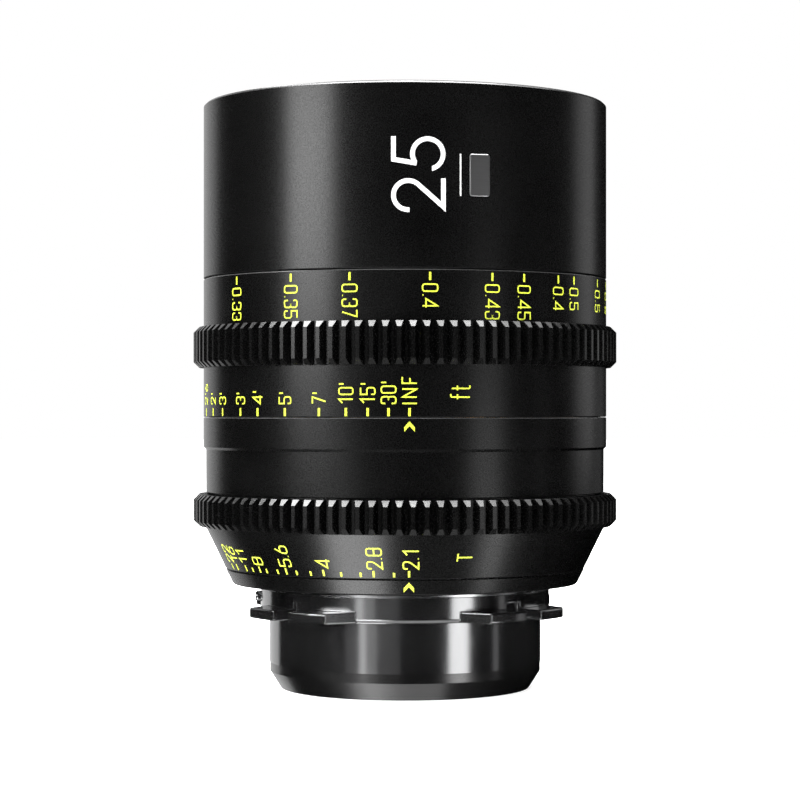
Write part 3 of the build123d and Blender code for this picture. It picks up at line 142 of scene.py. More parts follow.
# The key stands to the left. The low softboxes draw the mount's highlights, those under the table
# light what faces down, the strips draw the barrel's edges, and the ones above light rims and gears.
# Each has its angle, its elevation, its distance, width and length in metres, and its radiance.
softboxes = {
    "key": (-54, 10, near, 0.27, 0.13, 20),
    "key_fade": (-54, 24, near, 0.24, 0.12, 3),
    "low_left_wide": (-28, -8, near, 0.50, 0.28, 0.2),
    "low_left_middle": (-28, -8, near, 0.32, 0.26, 0.5),
    "low_left_narrow": (-31, -8, near, 0.15, 0.24, 0.6),
    "low_left": (-36, -7, near, 0.06, 0.20, 1.4),
    "low_right": (43.5, -7, near, 0.18, 0.17, 4.4),
    "low_right_far": (79, -6, near, 0.05, 0.20, 0.5),
    "under_left": (-39, -51, near, 0.26, 0.24, 17),
    "under_right": (60, -40, near, 0.12, 0.20, 10),
    "under_table": (0, -89, near, 0.45, 0.45, 1.25),
    "strip_left": (-152, 5, near, 0.44, 0.9, 1.0),
    "strip_right": (118, 14, near, 0.23, 0.36, 1.15),
    "low_strip_right": (140, -1, near, 0.20, 0.08, 0.17),
    "strip_behind": (178, 8, near, 0.10, 0.5, 9),
    "overhead_left": (-98, 70, far, 0.36, 0.8, 48),
    "overhead_right": (106, 80, far, 0.36, 0.45, 42),
    "overhead_far_right": (122, 56, far, 0.26, 0.24, 8),
    "front_top": (-14, 50, near, 0.66, 0.20, 3.5),
}
for softbox_name, softbox_setting in softboxes.items():
    softbox(softbox_name, *softbox_setting)

# Rear guard ring: turned from aluminium, blasted and anodised flat black, and screwed into the end
# of the spigot, where the lens stands on it. Its finish and the barrels' come from one recipe.
mm = 0.001
noise_low, noise_high = 0.3, 0.7
grain_size = 0.25 * mm
patch_size = 14 * mm
blast_depth = 0.0045 * mm
edge_width = 0.16 * mm
edge_lean = 0.47
# The top edges of the rings are painted lighter, as a highlight where the light catches them.
painted_edge_highlight = (0.024, 0.024, 0.024)
foot_edge_dullness = 0.3
guard_dark, guard_light = (0.0012, 0.0012, 0.0012), (0.0018, 0.0018, 0.0018)
guard_roughness = (0.2, 0.26)
guard_specular = 1.1


def finish(name, metallic=0.0, specular=0.5):
    """A new material, its node tree and its shader."""
    made = bpy.data.materials.new(name)
    made.use_nodes = True
    shader = made.node_tree.nodes["Principled BSDF"]
    shader.inputs["Metallic"].default_value = metallic
    shader.inputs["Specular IOR Level"].default_value = specular
    return made, made.node_tree, shader


def grain(tree, size, stretch=(1, 1, 1), detail=2.0):
    """Noise from 0 to 1 that is fixed to the piece, with grains of this size in metres."""
    place = tree.nodes.new("ShaderNodeTexCoord")
    scaled = tree.nodes.new("ShaderNodeMapping")
    scaled.inputs["Scale"].default_value = [share / size for share in stretch]
    noise = tree.nodes.new("ShaderNodeTexNoise")
    noise.inputs["Scale"].default_value = 1.0
    noise.inputs["Detail"].default_value = detail
    tree.links.new(place.outputs["Object"], scaled.inputs["Vector"])
    tree.links.new(scaled.outputs["Vector"], noise.inputs["Vector"])
    return noise.outputs["Fac"]


def spread(tree, factor, low, high):
    """The noise's usual range, spread between two values."""
    span = tree.nodes.new("ShaderNodeMapRange")
    span.inputs["From Min"].default_value = noise_low
    span.inputs["From Max"].default_value = noise_high
    span.inputs["To Min"].default_value = low
    span.inputs["To Max"].default_value = high
    tree.links.new(factor, span.inputs["Value"])
    return span.outputs["Result"]


def tones(tree, factor, dark, light):
    """A colour between two tones."""
    mix = tree.nodes.new("ShaderNodeMix")
    mix.data_type = "RGBA"
    mix.inputs["A"].default_value = (*dark, 1)
    mix.inputs["B"].default_value = (*light, 1)
    tree.links.new(spread(tree, factor, 0, 1), mix.inputs["Factor"])
    return mix.outputs["Result"]


def relief(tree, factor, depth, shader):
    """Bump of this depth in metres on a shader. The bump's own node comes back."""
    bump = tree.nodes.new("ShaderNodeBump")
    bump.inputs["Distance"].default_value = depth
    bump.inputs["Strength"].default_value = 1.0
    tree.links.new(factor, bump.inputs["Height"])
    tree.links.new(bump.outputs["Normal"], shader.inputs["Normal"])
    return bump


def maths(tree, operation, *values):
    """A maths step on values that are sockets or plain numbers."""
    step = tree.nodes.new("ShaderNodeMath")
    step.operation = operation
    for socket, value in zip(step.inputs, values):
        if isinstance(value, float):
            socket.default_value = value
        else:
            tree.links.new(value, socket)
    return step.outputs["Value"]


def height_of(tree):
    """The height of a point on the piece, along the optical axis."""
    place = tree.nodes.new("ShaderNodeTexCoord")
    split = tree.nodes.new("ShaderNodeSeparateXYZ")
    tree.links.new(place.outputs["Object"], split.inputs["Vector"])
    return split.outputs["Z"]


def lighten_as_painted_highlight(tree, above, colour):
    """The colour, lightened to a painted highlight wherever this height above an edge is more than
    nothing.
    """
    highlight_mix = tree.nodes.new("ShaderNodeMix")
    highlight_mix.data_type = "RGBA"
    highlight_mix.inputs["B"].default_value = (*painted_edge_highlight, 1)
    tree.links.new(colour, highlight_mix.inputs["A"])
    tree.links.new(maths(tree, "GREATER_THAN", above, 0.0), highlight_mix.inputs["Factor"])
    return highlight_mix.outputs["Result"]


def blasted_black(name, dark, light, roughness, specular, depth=blast_depth, foot_z=None, top_z=None):
    """Aluminium, bead blasted and anodised black: fine sparkle, and slow changes of tone. A ring's foot
    and top say where its trimmed edges are: a dull one below, and a rounded one on top, lightened with a
    painted highlight."""
    made, tree, shader = finish(name, specular=specular)
    sparkle = grain(tree, grain_size)
    colour = tones(tree, grain(tree, patch_size), dark, light)
    dullness = spread(tree, sparkle, *roughness)
    surface = sparkle
    if foot_z is not None:
        at_foot = maths(tree, "LESS_THAN", height_of(tree), foot_z + edge_width)
        dullness = maths(tree, "MULTIPLY_ADD", at_foot, foot_edge_dullness, dullness)
    if top_z is not None:
        above = maths(tree, "SUBTRACT", height_of(tree), top_z - edge_width)
        # Painted highlight: the top edge's colour is made lighter.
        colour = lighten_as_painted_highlight(tree, above, colour)
        lean = maths(tree, "MULTIPLY", maths(tree, "MAXIMUM", above, 0.0), edge_lean / depth)
        surface = maths(tree, "ADD", sparkle, lean)
    tree.links.new(colour, shader.inputs["Base Color"])
    tree.links.new(dullness, shader.inputs["Roughness"])
    relief(tree, surface, depth, shader)
    return made


def dress(finish_of, *names):
    """Give CAD nodes their finish."""
    for name in names:
        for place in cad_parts[name].material_slots:
            place.material = finish_of


guard_black = blasted_black("guard_ring_anodising", guard_dark, guard_light, guard_roughness,
                            guard_specular)
dress(guard_black, "rear_guard_ring")

# PL mount: a machined brass ring with four notched wings, plated with glossy black chrome, with its
# index stud pressed into the neck. Four screws hold it and a bright steel shim to the rear cover.
polished_edge = 0.4 * mm
polished_edge_samples = 6
polish_depth = 0.0005 * mm
wipe_size = 3 * mm
wipe_stretch = (1, 1, 0.3)
plating_metallic = 0.985
guard_seam_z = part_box("pl_mount")[0][2]
turning_width = 0.12 * mm
turning_depth = 0.002 * mm
turning_stretch = (0.02, 0.02, 1)
chrome_dark, chrome_light = (0.180, 0.181, 0.183), (0.21, 0.211, 0.213)
chrome_roughness = (0.13, 0.17)
screw_dark, screw_light = (0.018, 0.018, 0.019), (0.03, 0.03, 0.03)
screw_roughness = (0.25, 0.35)
steel_dark, steel_light = (0.45, 0.45, 0.46), (0.6, 0.6, 0.61)
steel_roughness = (0.18, 0.3)


def plated(name, dark, light, roughness):
    """Polished plating with faint wipe marks, and edges that are rounded except at the guard ring."""
    made, tree, shader = finish(name, metallic=plating_metallic)
    wipes = grain(tree, wipe_size, stretch=wipe_stretch)
    edges = tree.nodes.new("ShaderNodeBevel")
    edges.samples = polished_edge_samples
    above_seam = maths(tree, "GREATER_THAN", height_of(tree), guard_seam_z + 2 * polished_edge)
    tree.links.new(maths(tree, "MULTIPLY", above_seam, polished_edge), edges.inputs["Radius"])
    bump = relief(tree, wipes, polish_depth, shader)
    tree.links.new(edges.outputs["Normal"], bump.inputs["Normal"])
    tree.links.new(tones(tree, wipes, dark, light), shader.inputs["Base Color"])
    tree.links.new(spread(tree, wipes, *roughness), shader.inputs["Roughness"])
    return made


def turned(name, dark, light, roughness, metallic=1.0, specular=0.5, line_width=turning_width):
    """Metal or plastic off the lathe, with fine turning lines round the optical axis."""
    made, tree, shader = finish(name, metallic=metallic, specular=specular)
    lines = grain(tree, line_width, stretch=turning_stretch)
    tree.links.new(tones(tree, lines, dark, light), shader.inputs["Base Color"])
    tree.links.new(spread(tree, lines, *roughness), shader.inputs["Roughness"])
    relief(tree, lines, turning_depth, shader)
    return made


black_chrome = plated("black_chrome", chrome_dark, chrome_light, chrome_roughness)
black_screw_steel = plated("blackened_screw_steel", screw_dark, screw_light, screw_roughness)
bright_steel = turned("bright_steel", steel_dark, steel_light, steel_roughness)
dress(black_chrome, "pl_mount", "index_stud")
dress(black_screw_steel, "mount_screws", "rear_cover_screws")
dress(bright_steel, "mount_shim")

# Rear cover: a short fixed cone of blasted aluminium, anodised satin black. The aperture index is a
# chevron of greenish yellow paint, filled into the cover above the mount.
cover_low, cover_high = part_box("rear_cover")
cover_seat_height = 0.5 * mm
trim_height = 0.15 * mm
cover_cone_fall = 1.3 * mm
cover_foot_z = cover_low[2] + cover_seat_height
cover_top_z = cover_high[2]
cover_top_radius = cover_high[0]
cover_foot_radius = cover_top_radius - cover_cone_fall
deep_black, soft_black = (0.0007, 0.0007, 0.0007), (0.0013, 0.0013, 0.0013)
satin_roughness = (0.23, 0.31)
satin_specular = 0.2
paint_lift = 0.02 * mm
paint_depth = 0.05 * mm
paint_mottle_size = 0.3 * mm
paint_darker_share = 0.93
paint_roughness = (0.4, 0.55)
paint_specular = 0.3
scale_yellow = (0.29, 0.33, 0.014)
number_white = (0.36, 0.36, 0.36)
chevron_half_width = 0.96 * mm
chevron_drop = 1.05 * mm
chevron_band = 0.85 * mm
chevron_steps = 6
index_angle = 0
aperture_index_inset = 0.5 * mm
cover_black = blasted_black("satin_black_cover", deep_black, soft_black, satin_roughness, satin_specular,
                            foot_z=cover_foot_z)
dress(cover_black, "rear_cover")


def scale_paint(name, colour):
    """Screen printed enamel: nearly even, with a slightly uneven gloss."""
    made, tree, shader = finish(name, specular=paint_specular)
    mottle = grain(tree, paint_mottle_size)
    darker = [paint_darker_share * part for part in colour]
    tree.links.new(tones(tree, mottle, darker, colour), shader.inputs["Base Color"])
    tree.links.new(spread(tree, mottle, *paint_roughness), shader.inputs["Roughness"])
    return made


yellow_paint = scale_paint("yellow_scale_paint", scale_yellow)
white_paint = scale_paint("white_paint", number_white)


def cone_radius(foot, top):
    """The radius at a height on a cone through two (height, radius) points."""
    fall = (top[1] - foot[1]) / (top[0] - foot[0])
    return lambda height: foot[1] + fall * (height - foot[0])


def printed_at(angle, height, radius_at, reads_up=True):
    """A function that lays a flat drawing on the lens: its first axis runs up the barrel from this
    height, or down it, and its second round it, with the tops of letters to the left, or right."""
    way = 1 if reads_up else -1

    def place(along, up, lift):
        level = height + way * along
        radius = radius_at(level)
        return around(angle - way * up / radius * 180 / pi, radius + lift, level)
    return place


def painted_strip(mesh, left, right, closed, place):
    """Add a painted strip between two lines of (along, up) points, as a thin closed solid."""
    rings = []
    for a, b in zip(left, right):
        corners = ((a, paint_lift), (b, paint_lift), (b, -paint_depth), (a, -paint_depth))
        rings.append([mesh.verts.new(place(*point, lift)) for point, lift in corners])
    following_rings = rings[1:] + rings[:1] if closed else rings[1:]
    for ring, next_ring in zip(rings, following_rings):
        for side in range(4):
            following = (side + 1) % 4
            mesh.faces.new((ring[side], ring[following], next_ring[following], next_ring[side]))
    if not closed:
        mesh.faces.new(rings[0][::-1])
        mesh.faces.new(rings[-1])


def fitted_piece(name, mesh, finish_of, body):
    """Turn a mesh into a piece of the lens that moves with a body."""
    bmesh.ops.recalc_face_normals(mesh, faces=mesh.faces)
    data = bpy.data.meshes.new(name)
    mesh.to_mesh(data)
    mesh.free()
    data.materials.append(finish_of)
    piece = bpy.data.objects.new(name, data)
    bpy.context.scene.collection.objects.link(piece)
    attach(piece, body)
    return piece


def chevron(mesh, angle, tip_height, radius_at):
    """An arrow mark that points up the barrel."""
    place = printed_at(angle, tip_height, radius_at)
    spots = [-1 + 2 * step / chevron_steps for step in range(chevron_steps + 1)]
    top = [(-abs(spot) * chevron_drop, spot * chevron_half_width) for spot in spots]
    bottom = [(along - chevron_band, up) for along, up in top]
    painted_strip(mesh, top, bottom, False, place)


cover_radius = cone_radius((cover_foot_z + trim_height, cover_foot_radius),
                           (cover_top_z - trim_height, cover_top_radius))
aperture_index_mesh = bmesh.new()
chevron(aperture_index_mesh, index_angle, cover_top_z - aperture_index_inset, cover_radius)
fitted_piece("aperture_index_paint", aperture_index_mesh, yellow_paint, "body")

# Main tube: the plain aluminium backbone that all the rings turn on, with the thin acetal washers
# between it and them, and the steel bar that carries the iris ring's turn inwards.
aluminium_dark, aluminium_light = (0.30, 0.30, 0.31), (0.42, 0.42, 0.43)
aluminium_roughness = (0.28, 0.42)
acetal_dark, acetal_light = (0.003, 0.003, 0.003), (0.005, 0.005, 0.005)
acetal_roughness = (0.45, 0.55)
tube_aluminium = turned("turned_aluminium", aluminium_dark, aluminium_light, aluminium_roughness)
washer_acetal = turned("black_acetal", acetal_dark, acetal_light, acetal_roughness, metallic=0)
dress(tube_aluminium, "main_tube")
dress(washer_acetal, "iris_washer", "focus_rear_washer", "focus_front_washer")
dress(bright_steel, "iris_driver", "focus_stop_pin")
dress(black_screw_steel, "iris_driver_screw")

# Iris ring: a blasted cone and a 0.8 module gear cut in one piece, anodised black. The T stop scale
# is printed on the cone in yellow, in thin square digits that read upwards.
iris_ring_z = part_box("iris_ring")[0][2]
iris_cone_height = 8.4 * mm
iris_cone_foot_radius = 35.7 * mm
iris_cone_top_radius = 39.7 * mm
gear_relief = 0.002 * mm
digit_height = 2.93 * mm
digit_stroke = 0.27 * mm
digit_gap = 0.42 * mm
corner_radius = 0.5 * mm
corner_steps = 4
print_step = 0.5 * mm
least_step_share = 0.01
mitre_limit = 0.4
tick_width = 0.46 * mm
thin_tick_width = 0.4 * mm
tick_length = 1.5 * mm
t_tick_length = 1.2 * mm
minor_tick_length = 0.85 * mm
iris_ring_black = blasted_black("satin_black_iris_ring", deep_black, soft_black, satin_roughness,
                                satin_specular, depth=gear_relief, foot_z=iris_ring_z)
dress(iris_ring_black, "iris_ring")

# Each character has its width as a share of its height, then its strokes as shares of its width and
# height along the middle of the stroke. A corner marked True is rounded, and "loop" closes a stroke.
characters = {
    "0": (0.51, ["loop", (0, 0, True), (1, 0, True), (1, 1, True), (0, 1, True)]),
    "1": (0.42, [(0.1, 0.76), (0.8, 1), (0.8, 0)]),
    "2": (0.51, [(0, 0.7), (0, 1, True), (1, 1, True), (1, 0.6, True), (0, 0), (1, 0)]),
    "3": (0.51, [(0, 0.72), (0, 1, True), (1, 1, True), (1, 0.5, True), (0.45, 0.5)],
          [(0.45, 0.5), (1, 0.5, True), (1, 0, True), (0, 0, True), (0, 0.28)]),
    "4": (0.60, [(0.8, 0), (0.8, 1), (0, 0.23), (1, 0.23)]),
    "5": (0.51, [(1, 1), (0, 1), (0, 0.56), (1, 0.56, True), (1, 0, True), (0, 0, True), (0, 0.26)]),
    "6": (0.51, [(0.6, 1), (0, 0.45, True), (0, 0, True), (1, 0, True), (1, 0.58, True), (0.04, 0.58)]),
    "7": (0.50, [(0, 1), (1, 1), (0.3, 0)]),
    "8": (0.51, ["loop", (0, 0, True), (1, 0, True), (1, 1, True), (0, 1, True)], [(0, 0.5), (1, 0.5)]),
    ".": (0.13, [(0.5, 0), (0.5, 0.05)]),
    "'": (0.06, [(0, 1), (0, 0.66)]),
    "I": (0.25, [(0, 0), (0, 1)]),
    "N": (0.72, [(0, 0), (0, 1), (0.8, 0), (0.8, 1)]),
    "F": (0.48, [(1, 1), (0, 1), (0, 0)], [(0, 0.47), (0.85, 0.47)]),
    "f": (0.30, [(1, 1), (0.4, 1, True), (0.4, 0)], [(0, 0.66), (1, 0.66)]),
    "t": (0.30, [(0.4, 0.95), (0.4, 0, True), (1, 0)], [(0, 0.66), (0.95, 0.66)]),
    "T": (0.56, [(0, 1), (1, 1)], [(0.5, 1), (0.5, 0)]),
}


def softened(points):
    """The stroke's points, with an arc in place of each rounded corner."""
    line = []
    for number, point in enumerate(points):
        here = Vector(point[:2])
        if len(point) == 2:
            line.append(here)
            continue
        before = Vector(points[number - 1][:2]) - here
        after = Vector(points[(number + 1) % len(points)][:2]) - here
        reach = min(corner_radius, before.length / 2, after.length / 2)
        start, end = here + before.normalized() * reach, here + after.normalized() * reach
        for step in range(corner_steps + 1):
            share = step / corner_steps
            line.append(start * (1 - share) ** 2 + here * 2 * share * (1 - share) + end * share ** 2)
    return line


def finely(line, closed):
    """The line with points added, so that it bends with the barrel."""
    ends = line[1:] + line[:1] if closed else line[1:]
    fine = []
    for start, end in zip(line, ends):
        pieces = max(1, round((end - start).length / print_step + 0.5))
        fine += [start.lerp(end, step / pieces) for step in range(pieces)]
    return fine if closed else fine + [line[-1]]


def brushed(mesh, line, closed, width, place, level_end=False):
    """Add one stroke of paint of even width along a line, cut square, or level at its far end."""
    line = [point for number, point in enumerate(line)
            if number == 0 or (point - line[number - 1]).length > width * least_step_share]
    line = finely(line, closed)
    left, right = [], []
    count = len(line)
    for number, point in enumerate(line):
        before = point - line[number - 1] if closed or number > 0 else line[1] - point
        after = line[(number + 1) % count] - point if closed or number < count - 1 else before
        before, after = before.normalized(), after.normalized()
        one, two = Vector((-before.y, before.x)), Vector((-after.y, after.x))
        middle = (one + two).normalized()
        offset = middle * (width / 2 / max(middle.dot(one), mitre_limit))
        if level_end and number == count - 1:
            offset = Vector((width / 2 / one.x, 0))
        left.append(tuple(point + offset))
        right.append(tuple(point - offset))
    painted_strip(mesh, left, right, closed, place)


def printed(mesh, text, place, start=0.0, height=digit_height, gap=digit_gap):
    """Print a word or number from a start along the drawing, centred across it."""
    along = start
    for letter in text:
        width_share, *strokes = characters[letter]
        width = width_share * height
        inner_width, inner_height = max(width - digit_stroke, 0), height - digit_stroke
        for points in strokes:
            closed = points[0] == "loop"
            corners = points[1:] if closed else points
            drawn = [(along + digit_stroke / 2 + inner_width * corner[0],
                      digit_stroke / 2 + inner_height * corner[1] - height / 2, *corner[2:])
                     for corner in corners]
            brushed(mesh, softened(drawn), closed, digit_stroke, place)
        along += width + gap


def tick(mesh, place, length, width=tick_width):
    """A short bar along the drawing."""
    brushed(mesh, [Vector((0, 0)), Vector((length, 0))], False, width, place)


# T stops: (angle of the mark, its number). The marks between have none.
t_stops = [(0, "2.1"), (-10.4, "2.8"), (-25.9, "4"), (-39.2, "5.6"), (-50.8, "8"), (-58.4, "11"),
           (-64.5, "16"), (-68.4, "22")]
t_marks_between = [-4.4, -14.3, -20.3, -30.3, -35.3, -42.7, -47.6, -54.6]
t_mark_rise = 0.4 * mm
t_number_gap = 0.28 * mm
t_digit_gap = 0.26 * mm
t_number_turn = 0.5
t_digit_height = 3.1 * mm
t_letter_rise = 3.2 * mm
t_letter_angle = 15.9
t_mark_z = iris_ring_z + t_mark_rise
iris_cone_radius = cone_radius((iris_ring_z + trim_height, iris_cone_foot_radius),
                               (iris_ring_z + iris_cone_height, iris_cone_top_radius))
aperture_mesh = bmesh.new()
for angle, number in t_stops:
    tick(aperture_mesh, printed_at(angle, t_mark_z, iris_cone_radius), t_tick_length, thin_tick_width)
    printed(aperture_mesh, number, printed_at(angle + t_number_turn, t_mark_z, iris_cone_radius),
            t_tick_length + t_number_gap, t_digit_height, t_digit_gap)
for angle in t_marks_between:
    tick(aperture_mesh, printed_at(angle, t_mark_z, iris_cone_radius), minor_tick_length, thin_tick_width)
printed(aperture_mesh, "T", printed_at(t_letter_angle, iris_ring_z + t_letter_rise, iris_cone_radius),
        height=t_digit_height)
fitted_piece("aperture_scale_paint", aperture_mesh, yellow_paint, "iris_ring")

# Middle barrel: a fixed shell between the two geared rings, blasted and anodised satin black, with
# the distance index painted on its front edge. Four screws hold it to the main tube's flange.
middle_low, middle_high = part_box("middle_barrel")
distance_index_inset = 0.65 * mm
barrel_radius = middle_high[0]
middle_black = blasted_black("satin_black_middle", deep_black, soft_black, satin_roughness, satin_specular,
                             foot_z=middle_low[2], top_z=middle_high[2])
dress(middle_black, "middle_barrel")
dress(black_screw_steel, "middle_barrel_screws")


def on_barrel(height):
    """The barrel is a plain cylinder at every height."""
    return barrel_radius


distance_index_mesh = bmesh.new()
chevron(distance_index_mesh, index_angle, middle_high[2] - distance_index_inset, on_barrel)
fitted_piece("distance_index_paint", distance_index_mesh, yellow_paint, "body")

# Focus ring: blasted and anodised, with a gear in the middle. It carries a bronze cam sleeve on
# three keys. Feet are printed behind the gear, reading upwards, and metres in front, downwards.
focus_low, focus_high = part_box("focus_ring")
bronze_dark, bronze_light = (0.42, 0.25, 0.11), (0.55, 0.34, 0.16)
bronze_roughness = (0.2, 0.32)
cam_bronze = turned("cam_bronze", bronze_dark, bronze_light, bronze_roughness)
focus_ring_black = blasted_black("satin_black_focus_ring", deep_black, soft_black, satin_roughness,
                                 satin_specular, depth=gear_relief, foot_z=focus_low[2],
                                 top_z=focus_high[2])
dress(focus_ring_black, "focus_ring")
dress(cam_bronze, "focus_cam_sleeve")
dress(bright_steel, "focus_keys")

# Distances: (angle of the mark, its number), and how far marks and numbers lie from the ring's edge
feet_marks = [(0, "INF"), (-5.5, "30'"), (-11.0, "15'"), (-16.9, "10'"), (-24.5, "7'"), (-35.0, "5'"),
              (-44.8, "4'"), (-52.1, "3'"), (-61.8, "3'"), (-68.9, "2'"), (-76.8, "2'6")]
metre_marks = [(-53.9, "0.33"), (-33.1, "0.35"), (-15.9, "0.37"), (5.4, "0.4"), (22.5, "0.43"),
               (32.3, "0.45"), (44.8, "0.4"), (51.9, "0.5"), (67.1, "0.5"), (79.7, "0.6")]
feet_mark_rise = 0.2 * mm
feet_number_rise = 2.2 * mm
feet_word_angle = 13.5
feet_word_rise = 3.2 * mm
feet_word_height = 3.9 * mm
metre_mark_inset = 0.55 * mm
metre_number_inset = 2.1 * mm
metre_digit_gap = 0.37 * mm
metre_digit_height = 3.07 * mm
distance_mesh = bmesh.new()
for angle, number in feet_marks:
    spot = printed_at(angle, focus_low[2] + feet_mark_rise, on_barrel)
    tick(distance_mesh, spot, tick_length)
    printed(distance_mesh, number, spot, feet_number_rise)
printed(distance_mesh, "ft", printed_at(feet_word_angle, focus_low[2] + feet_word_rise, on_barrel),
        height=feet_word_height)
for angle, number in metre_marks:
    spot = printed_at(angle, focus_high[2] - metre_mark_inset, on_barrel, reads_up=False)
    tick(distance_mesh, spot, tick_length, thin_tick_width)
    printed(distance_mesh, number, spot, metre_number_inset, metre_digit_height, metre_digit_gap)
fitted_piece("distance_scale_paint", distance_mesh, yellow_paint, "focus_ring")

# Optical block: the lens barrel that slides in the main tube on three bronze rollers, with its cells,
# rings and spacers, all anodised or blackened inside against stray light.
inner_dark, inner_light = (0.004, 0.004, 0.004), (0.008, 0.008, 0.008)
inner_roughness = (0.4, 0.5)
inner_specular = 0.06
inner_thread_width = 0.35 * mm
inner_black = turned("blackened_threads", inner_dark, inner_light, inner_roughness, metallic=0,
                     specular=inner_specular, line_width=inner_thread_width)
dress(tube_aluminium, "lens_barrel")
dress(cam_bronze, "cam_rollers")
dress(bright_steel, "roller_screws")
dress(inner_black, "front_cell", "middle_cell", "rear_cell", "front_spacer", "rear_spacer",
      "third_retaining_ring", "middle_lock_ring", "nose_retaining_ring", "iris_lock_ring",
      "front_retaining_ring", "rear_retaining_ring")
dress(black_screw_steel, "rear_cell_screws")

# Glass: ten ground and polished elements, each face coated, which leaves a faint green, violet or
# pink reflection. The front element, which shows, has a finer mesh of its own: a domed front, a
# hollow rear and a plain ground edge.
coating_specular = 0.07
glass_cloud_size = 20 * mm
glass_darker_share = 0.9
glass_roughness = (0.015, 0.025)
front_tint, front_coating, front_opacity = (0.004, 0.007, 0.007), (0.25, 0.85, 0.5), 0.45
inner_tint, inner_coating, inner_opacity = (0.004, 0.004, 0.008), (0.55, 0.35, 0.95), 0.3
rear_tint, rear_coating, rear_opacity = (0.006, 0.004, 0.006), (0.95, 0.45, 0.6), 0.45
front_glass_low, front_glass_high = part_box("front_element")
front_glass_radius = front_glass_high[0]
front_glass_edge = 6.9 * mm
front_glass_aperture = 29.6 * mm
front_glass_hollow = 8.0 * mm
front_glass_hollow_radius = 22.5 * mm
glass_turn_steps = 240
glass_arc_steps = 36


def coated_glass(name, body_tint, coating, opacity):
    """Clear glass that shows as a faint tint and a coloured reflection."""
    made, tree, shader = finish(name, specular=coating_specular)
    cloud = grain(tree, glass_cloud_size)
    darker = [glass_darker_share * part for part in body_tint]
    tree.links.new(tones(tree, cloud, darker, body_tint), shader.inputs["Base Color"])
    tree.links.new(spread(tree, cloud, *glass_roughness), shader.inputs["Roughness"])
    shader.inputs["Specular Tint"].default_value = (*coating, 1)
    shader.inputs["Alpha"].default_value = opacity
    return made


def glass_arc(aperture, height, bulge):
    """(radius, height) points on a ground face, from its rim to its middle."""
    ball = (aperture ** 2 + bulge ** 2) / (2 * bulge)
    radii = [aperture * (1 - step / glass_arc_steps) for step in range(glass_arc_steps + 1)]
    return [(radius, height + (ball ** 2 - radius ** 2) ** 0.5 - (ball - bulge)) for radius in radii]


def ground_glass():
    """The front element's mesh: smooth polished faces, and between them a flat ground edge."""
    foot = front_glass_low[2]
    edge_top = foot + front_glass_edge
    hollow = glass_arc(front_glass_hollow_radius, foot, front_glass_hollow)
    dome = glass_arc(front_glass_aperture, edge_top, front_glass_high[2] - edge_top)
    outline = hollow[::-1] + [(front_glass_radius, foot), (front_glass_radius, edge_top)] + dome
    ground_edge = range(glass_arc_steps, glass_arc_steps + 3)
    mesh = bmesh.new()
    rings = []
    for radius, height in outline:
        if radius == 0:
            rings.append([mesh.verts.new((0, 0, height))] * glass_turn_steps)
        else:
            rings.append([mesh.verts.new(around(360 * step / glass_turn_steps, radius, height))
                          for step in range(glass_turn_steps)])
    for number, (lower, upper) in enumerate(zip(rings, rings[1:])):
        for step in range(glass_turn_steps):
            following = (step + 1) % glass_turn_steps
            corners = dict.fromkeys((lower[step], lower[following], upper[following], upper[step]))
            mesh.faces.new(list(corners)).smooth = number not in ground_edge
    return mesh


front_glass = coated_glass("front_glass", front_tint, front_coating, front_opacity)
inner_glass = coated_glass("inner_glass", inner_tint, inner_coating, inner_opacity)
rear_glass = coated_glass("rear_glass", rear_tint, rear_coating, rear_opacity)
front_lens = fitted_piece("front_glass", ground_glass(), front_glass, "optical_block")
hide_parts("front_element")
dress(inner_glass, "second_element", "third_element", "fourth_element", "fifth_element", "sixth_element",
      "seventh_element", "eighth_element", "ninth_element")
dress(rear_glass, "tenth_element")

# Iris: nine thin leaves of blackened spring steel, each with a pivot pin in a fixed plate and a drive
# pin in a slot of the ring that opens and closes them.
leaf_dark, leaf_light = (0.02, 0.02, 0.022), (0.035, 0.035, 0.037)
leaf_roughness = (0.3, 0.42)
leaf_steel = plated("blackened_leaf_steel", leaf_dark, leaf_light, leaf_roughness)
blade_nodes = sorted(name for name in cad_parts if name.startswith("iris_blade_"))
dress(leaf_steel, *blade_nodes)
dress(inner_black, "iris_plate", "iris_drive_ring")

# Front barrel: the long outer shell, blasted and anodised satin black, with a stepped flat black
# baffle behind its filter thread. The focal length and a thin line are printed on it in white.
front_low, front_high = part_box("front_barrel")
badge_low, badge_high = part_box("format_badge")
baffle_dark, baffle_light = (0.002, 0.002, 0.002), (0.004, 0.004, 0.004)
baffle_roughness = (0.6, 0.75)
baffle_specular = 0.05
baffle_line_width = 0.3 * mm
front_black = blasted_black("satin_black_front", deep_black, soft_black, satin_roughness, satin_specular,
                            foot_z=front_low[2], top_z=front_high[2])
baffle_black = turned("flocked_baffle_black", baffle_dark, baffle_light, baffle_roughness, metallic=0,
                      specular=baffle_specular, line_width=baffle_line_width)
dress(front_black, "front_barrel")
dress(black_screw_steel, "front_barrel_screws")
dress(baffle_black, "front_baffle")

# The two digits, each stroke along its middle, in millimetres from the number's lower left corner
number_rise = 10.1 * mm
number_angle = 2.35
number_stroke = 0.86 * mm
number_middle = 5.0
number_width_share = 1.018
bowl_step_angle = 8.0
two_bowl = (3.13, 6.84, 2.66, 184.6, -41.7)
two_foot = [(1.05, 0.5), (6.24, 0.5)]
five_start = 7.5
five_flag = [(five_start + 6.38, 9.5), (five_start + 2.17, 9.5), (five_start + 1.45, 5.35)]
five_bowl = (five_start + 3.18, 3.32, 2.77, 124, -164.4)
white_line_angle = 13.53
white_line_length = 7.7 * mm
white_line_width = 0.27 * mm


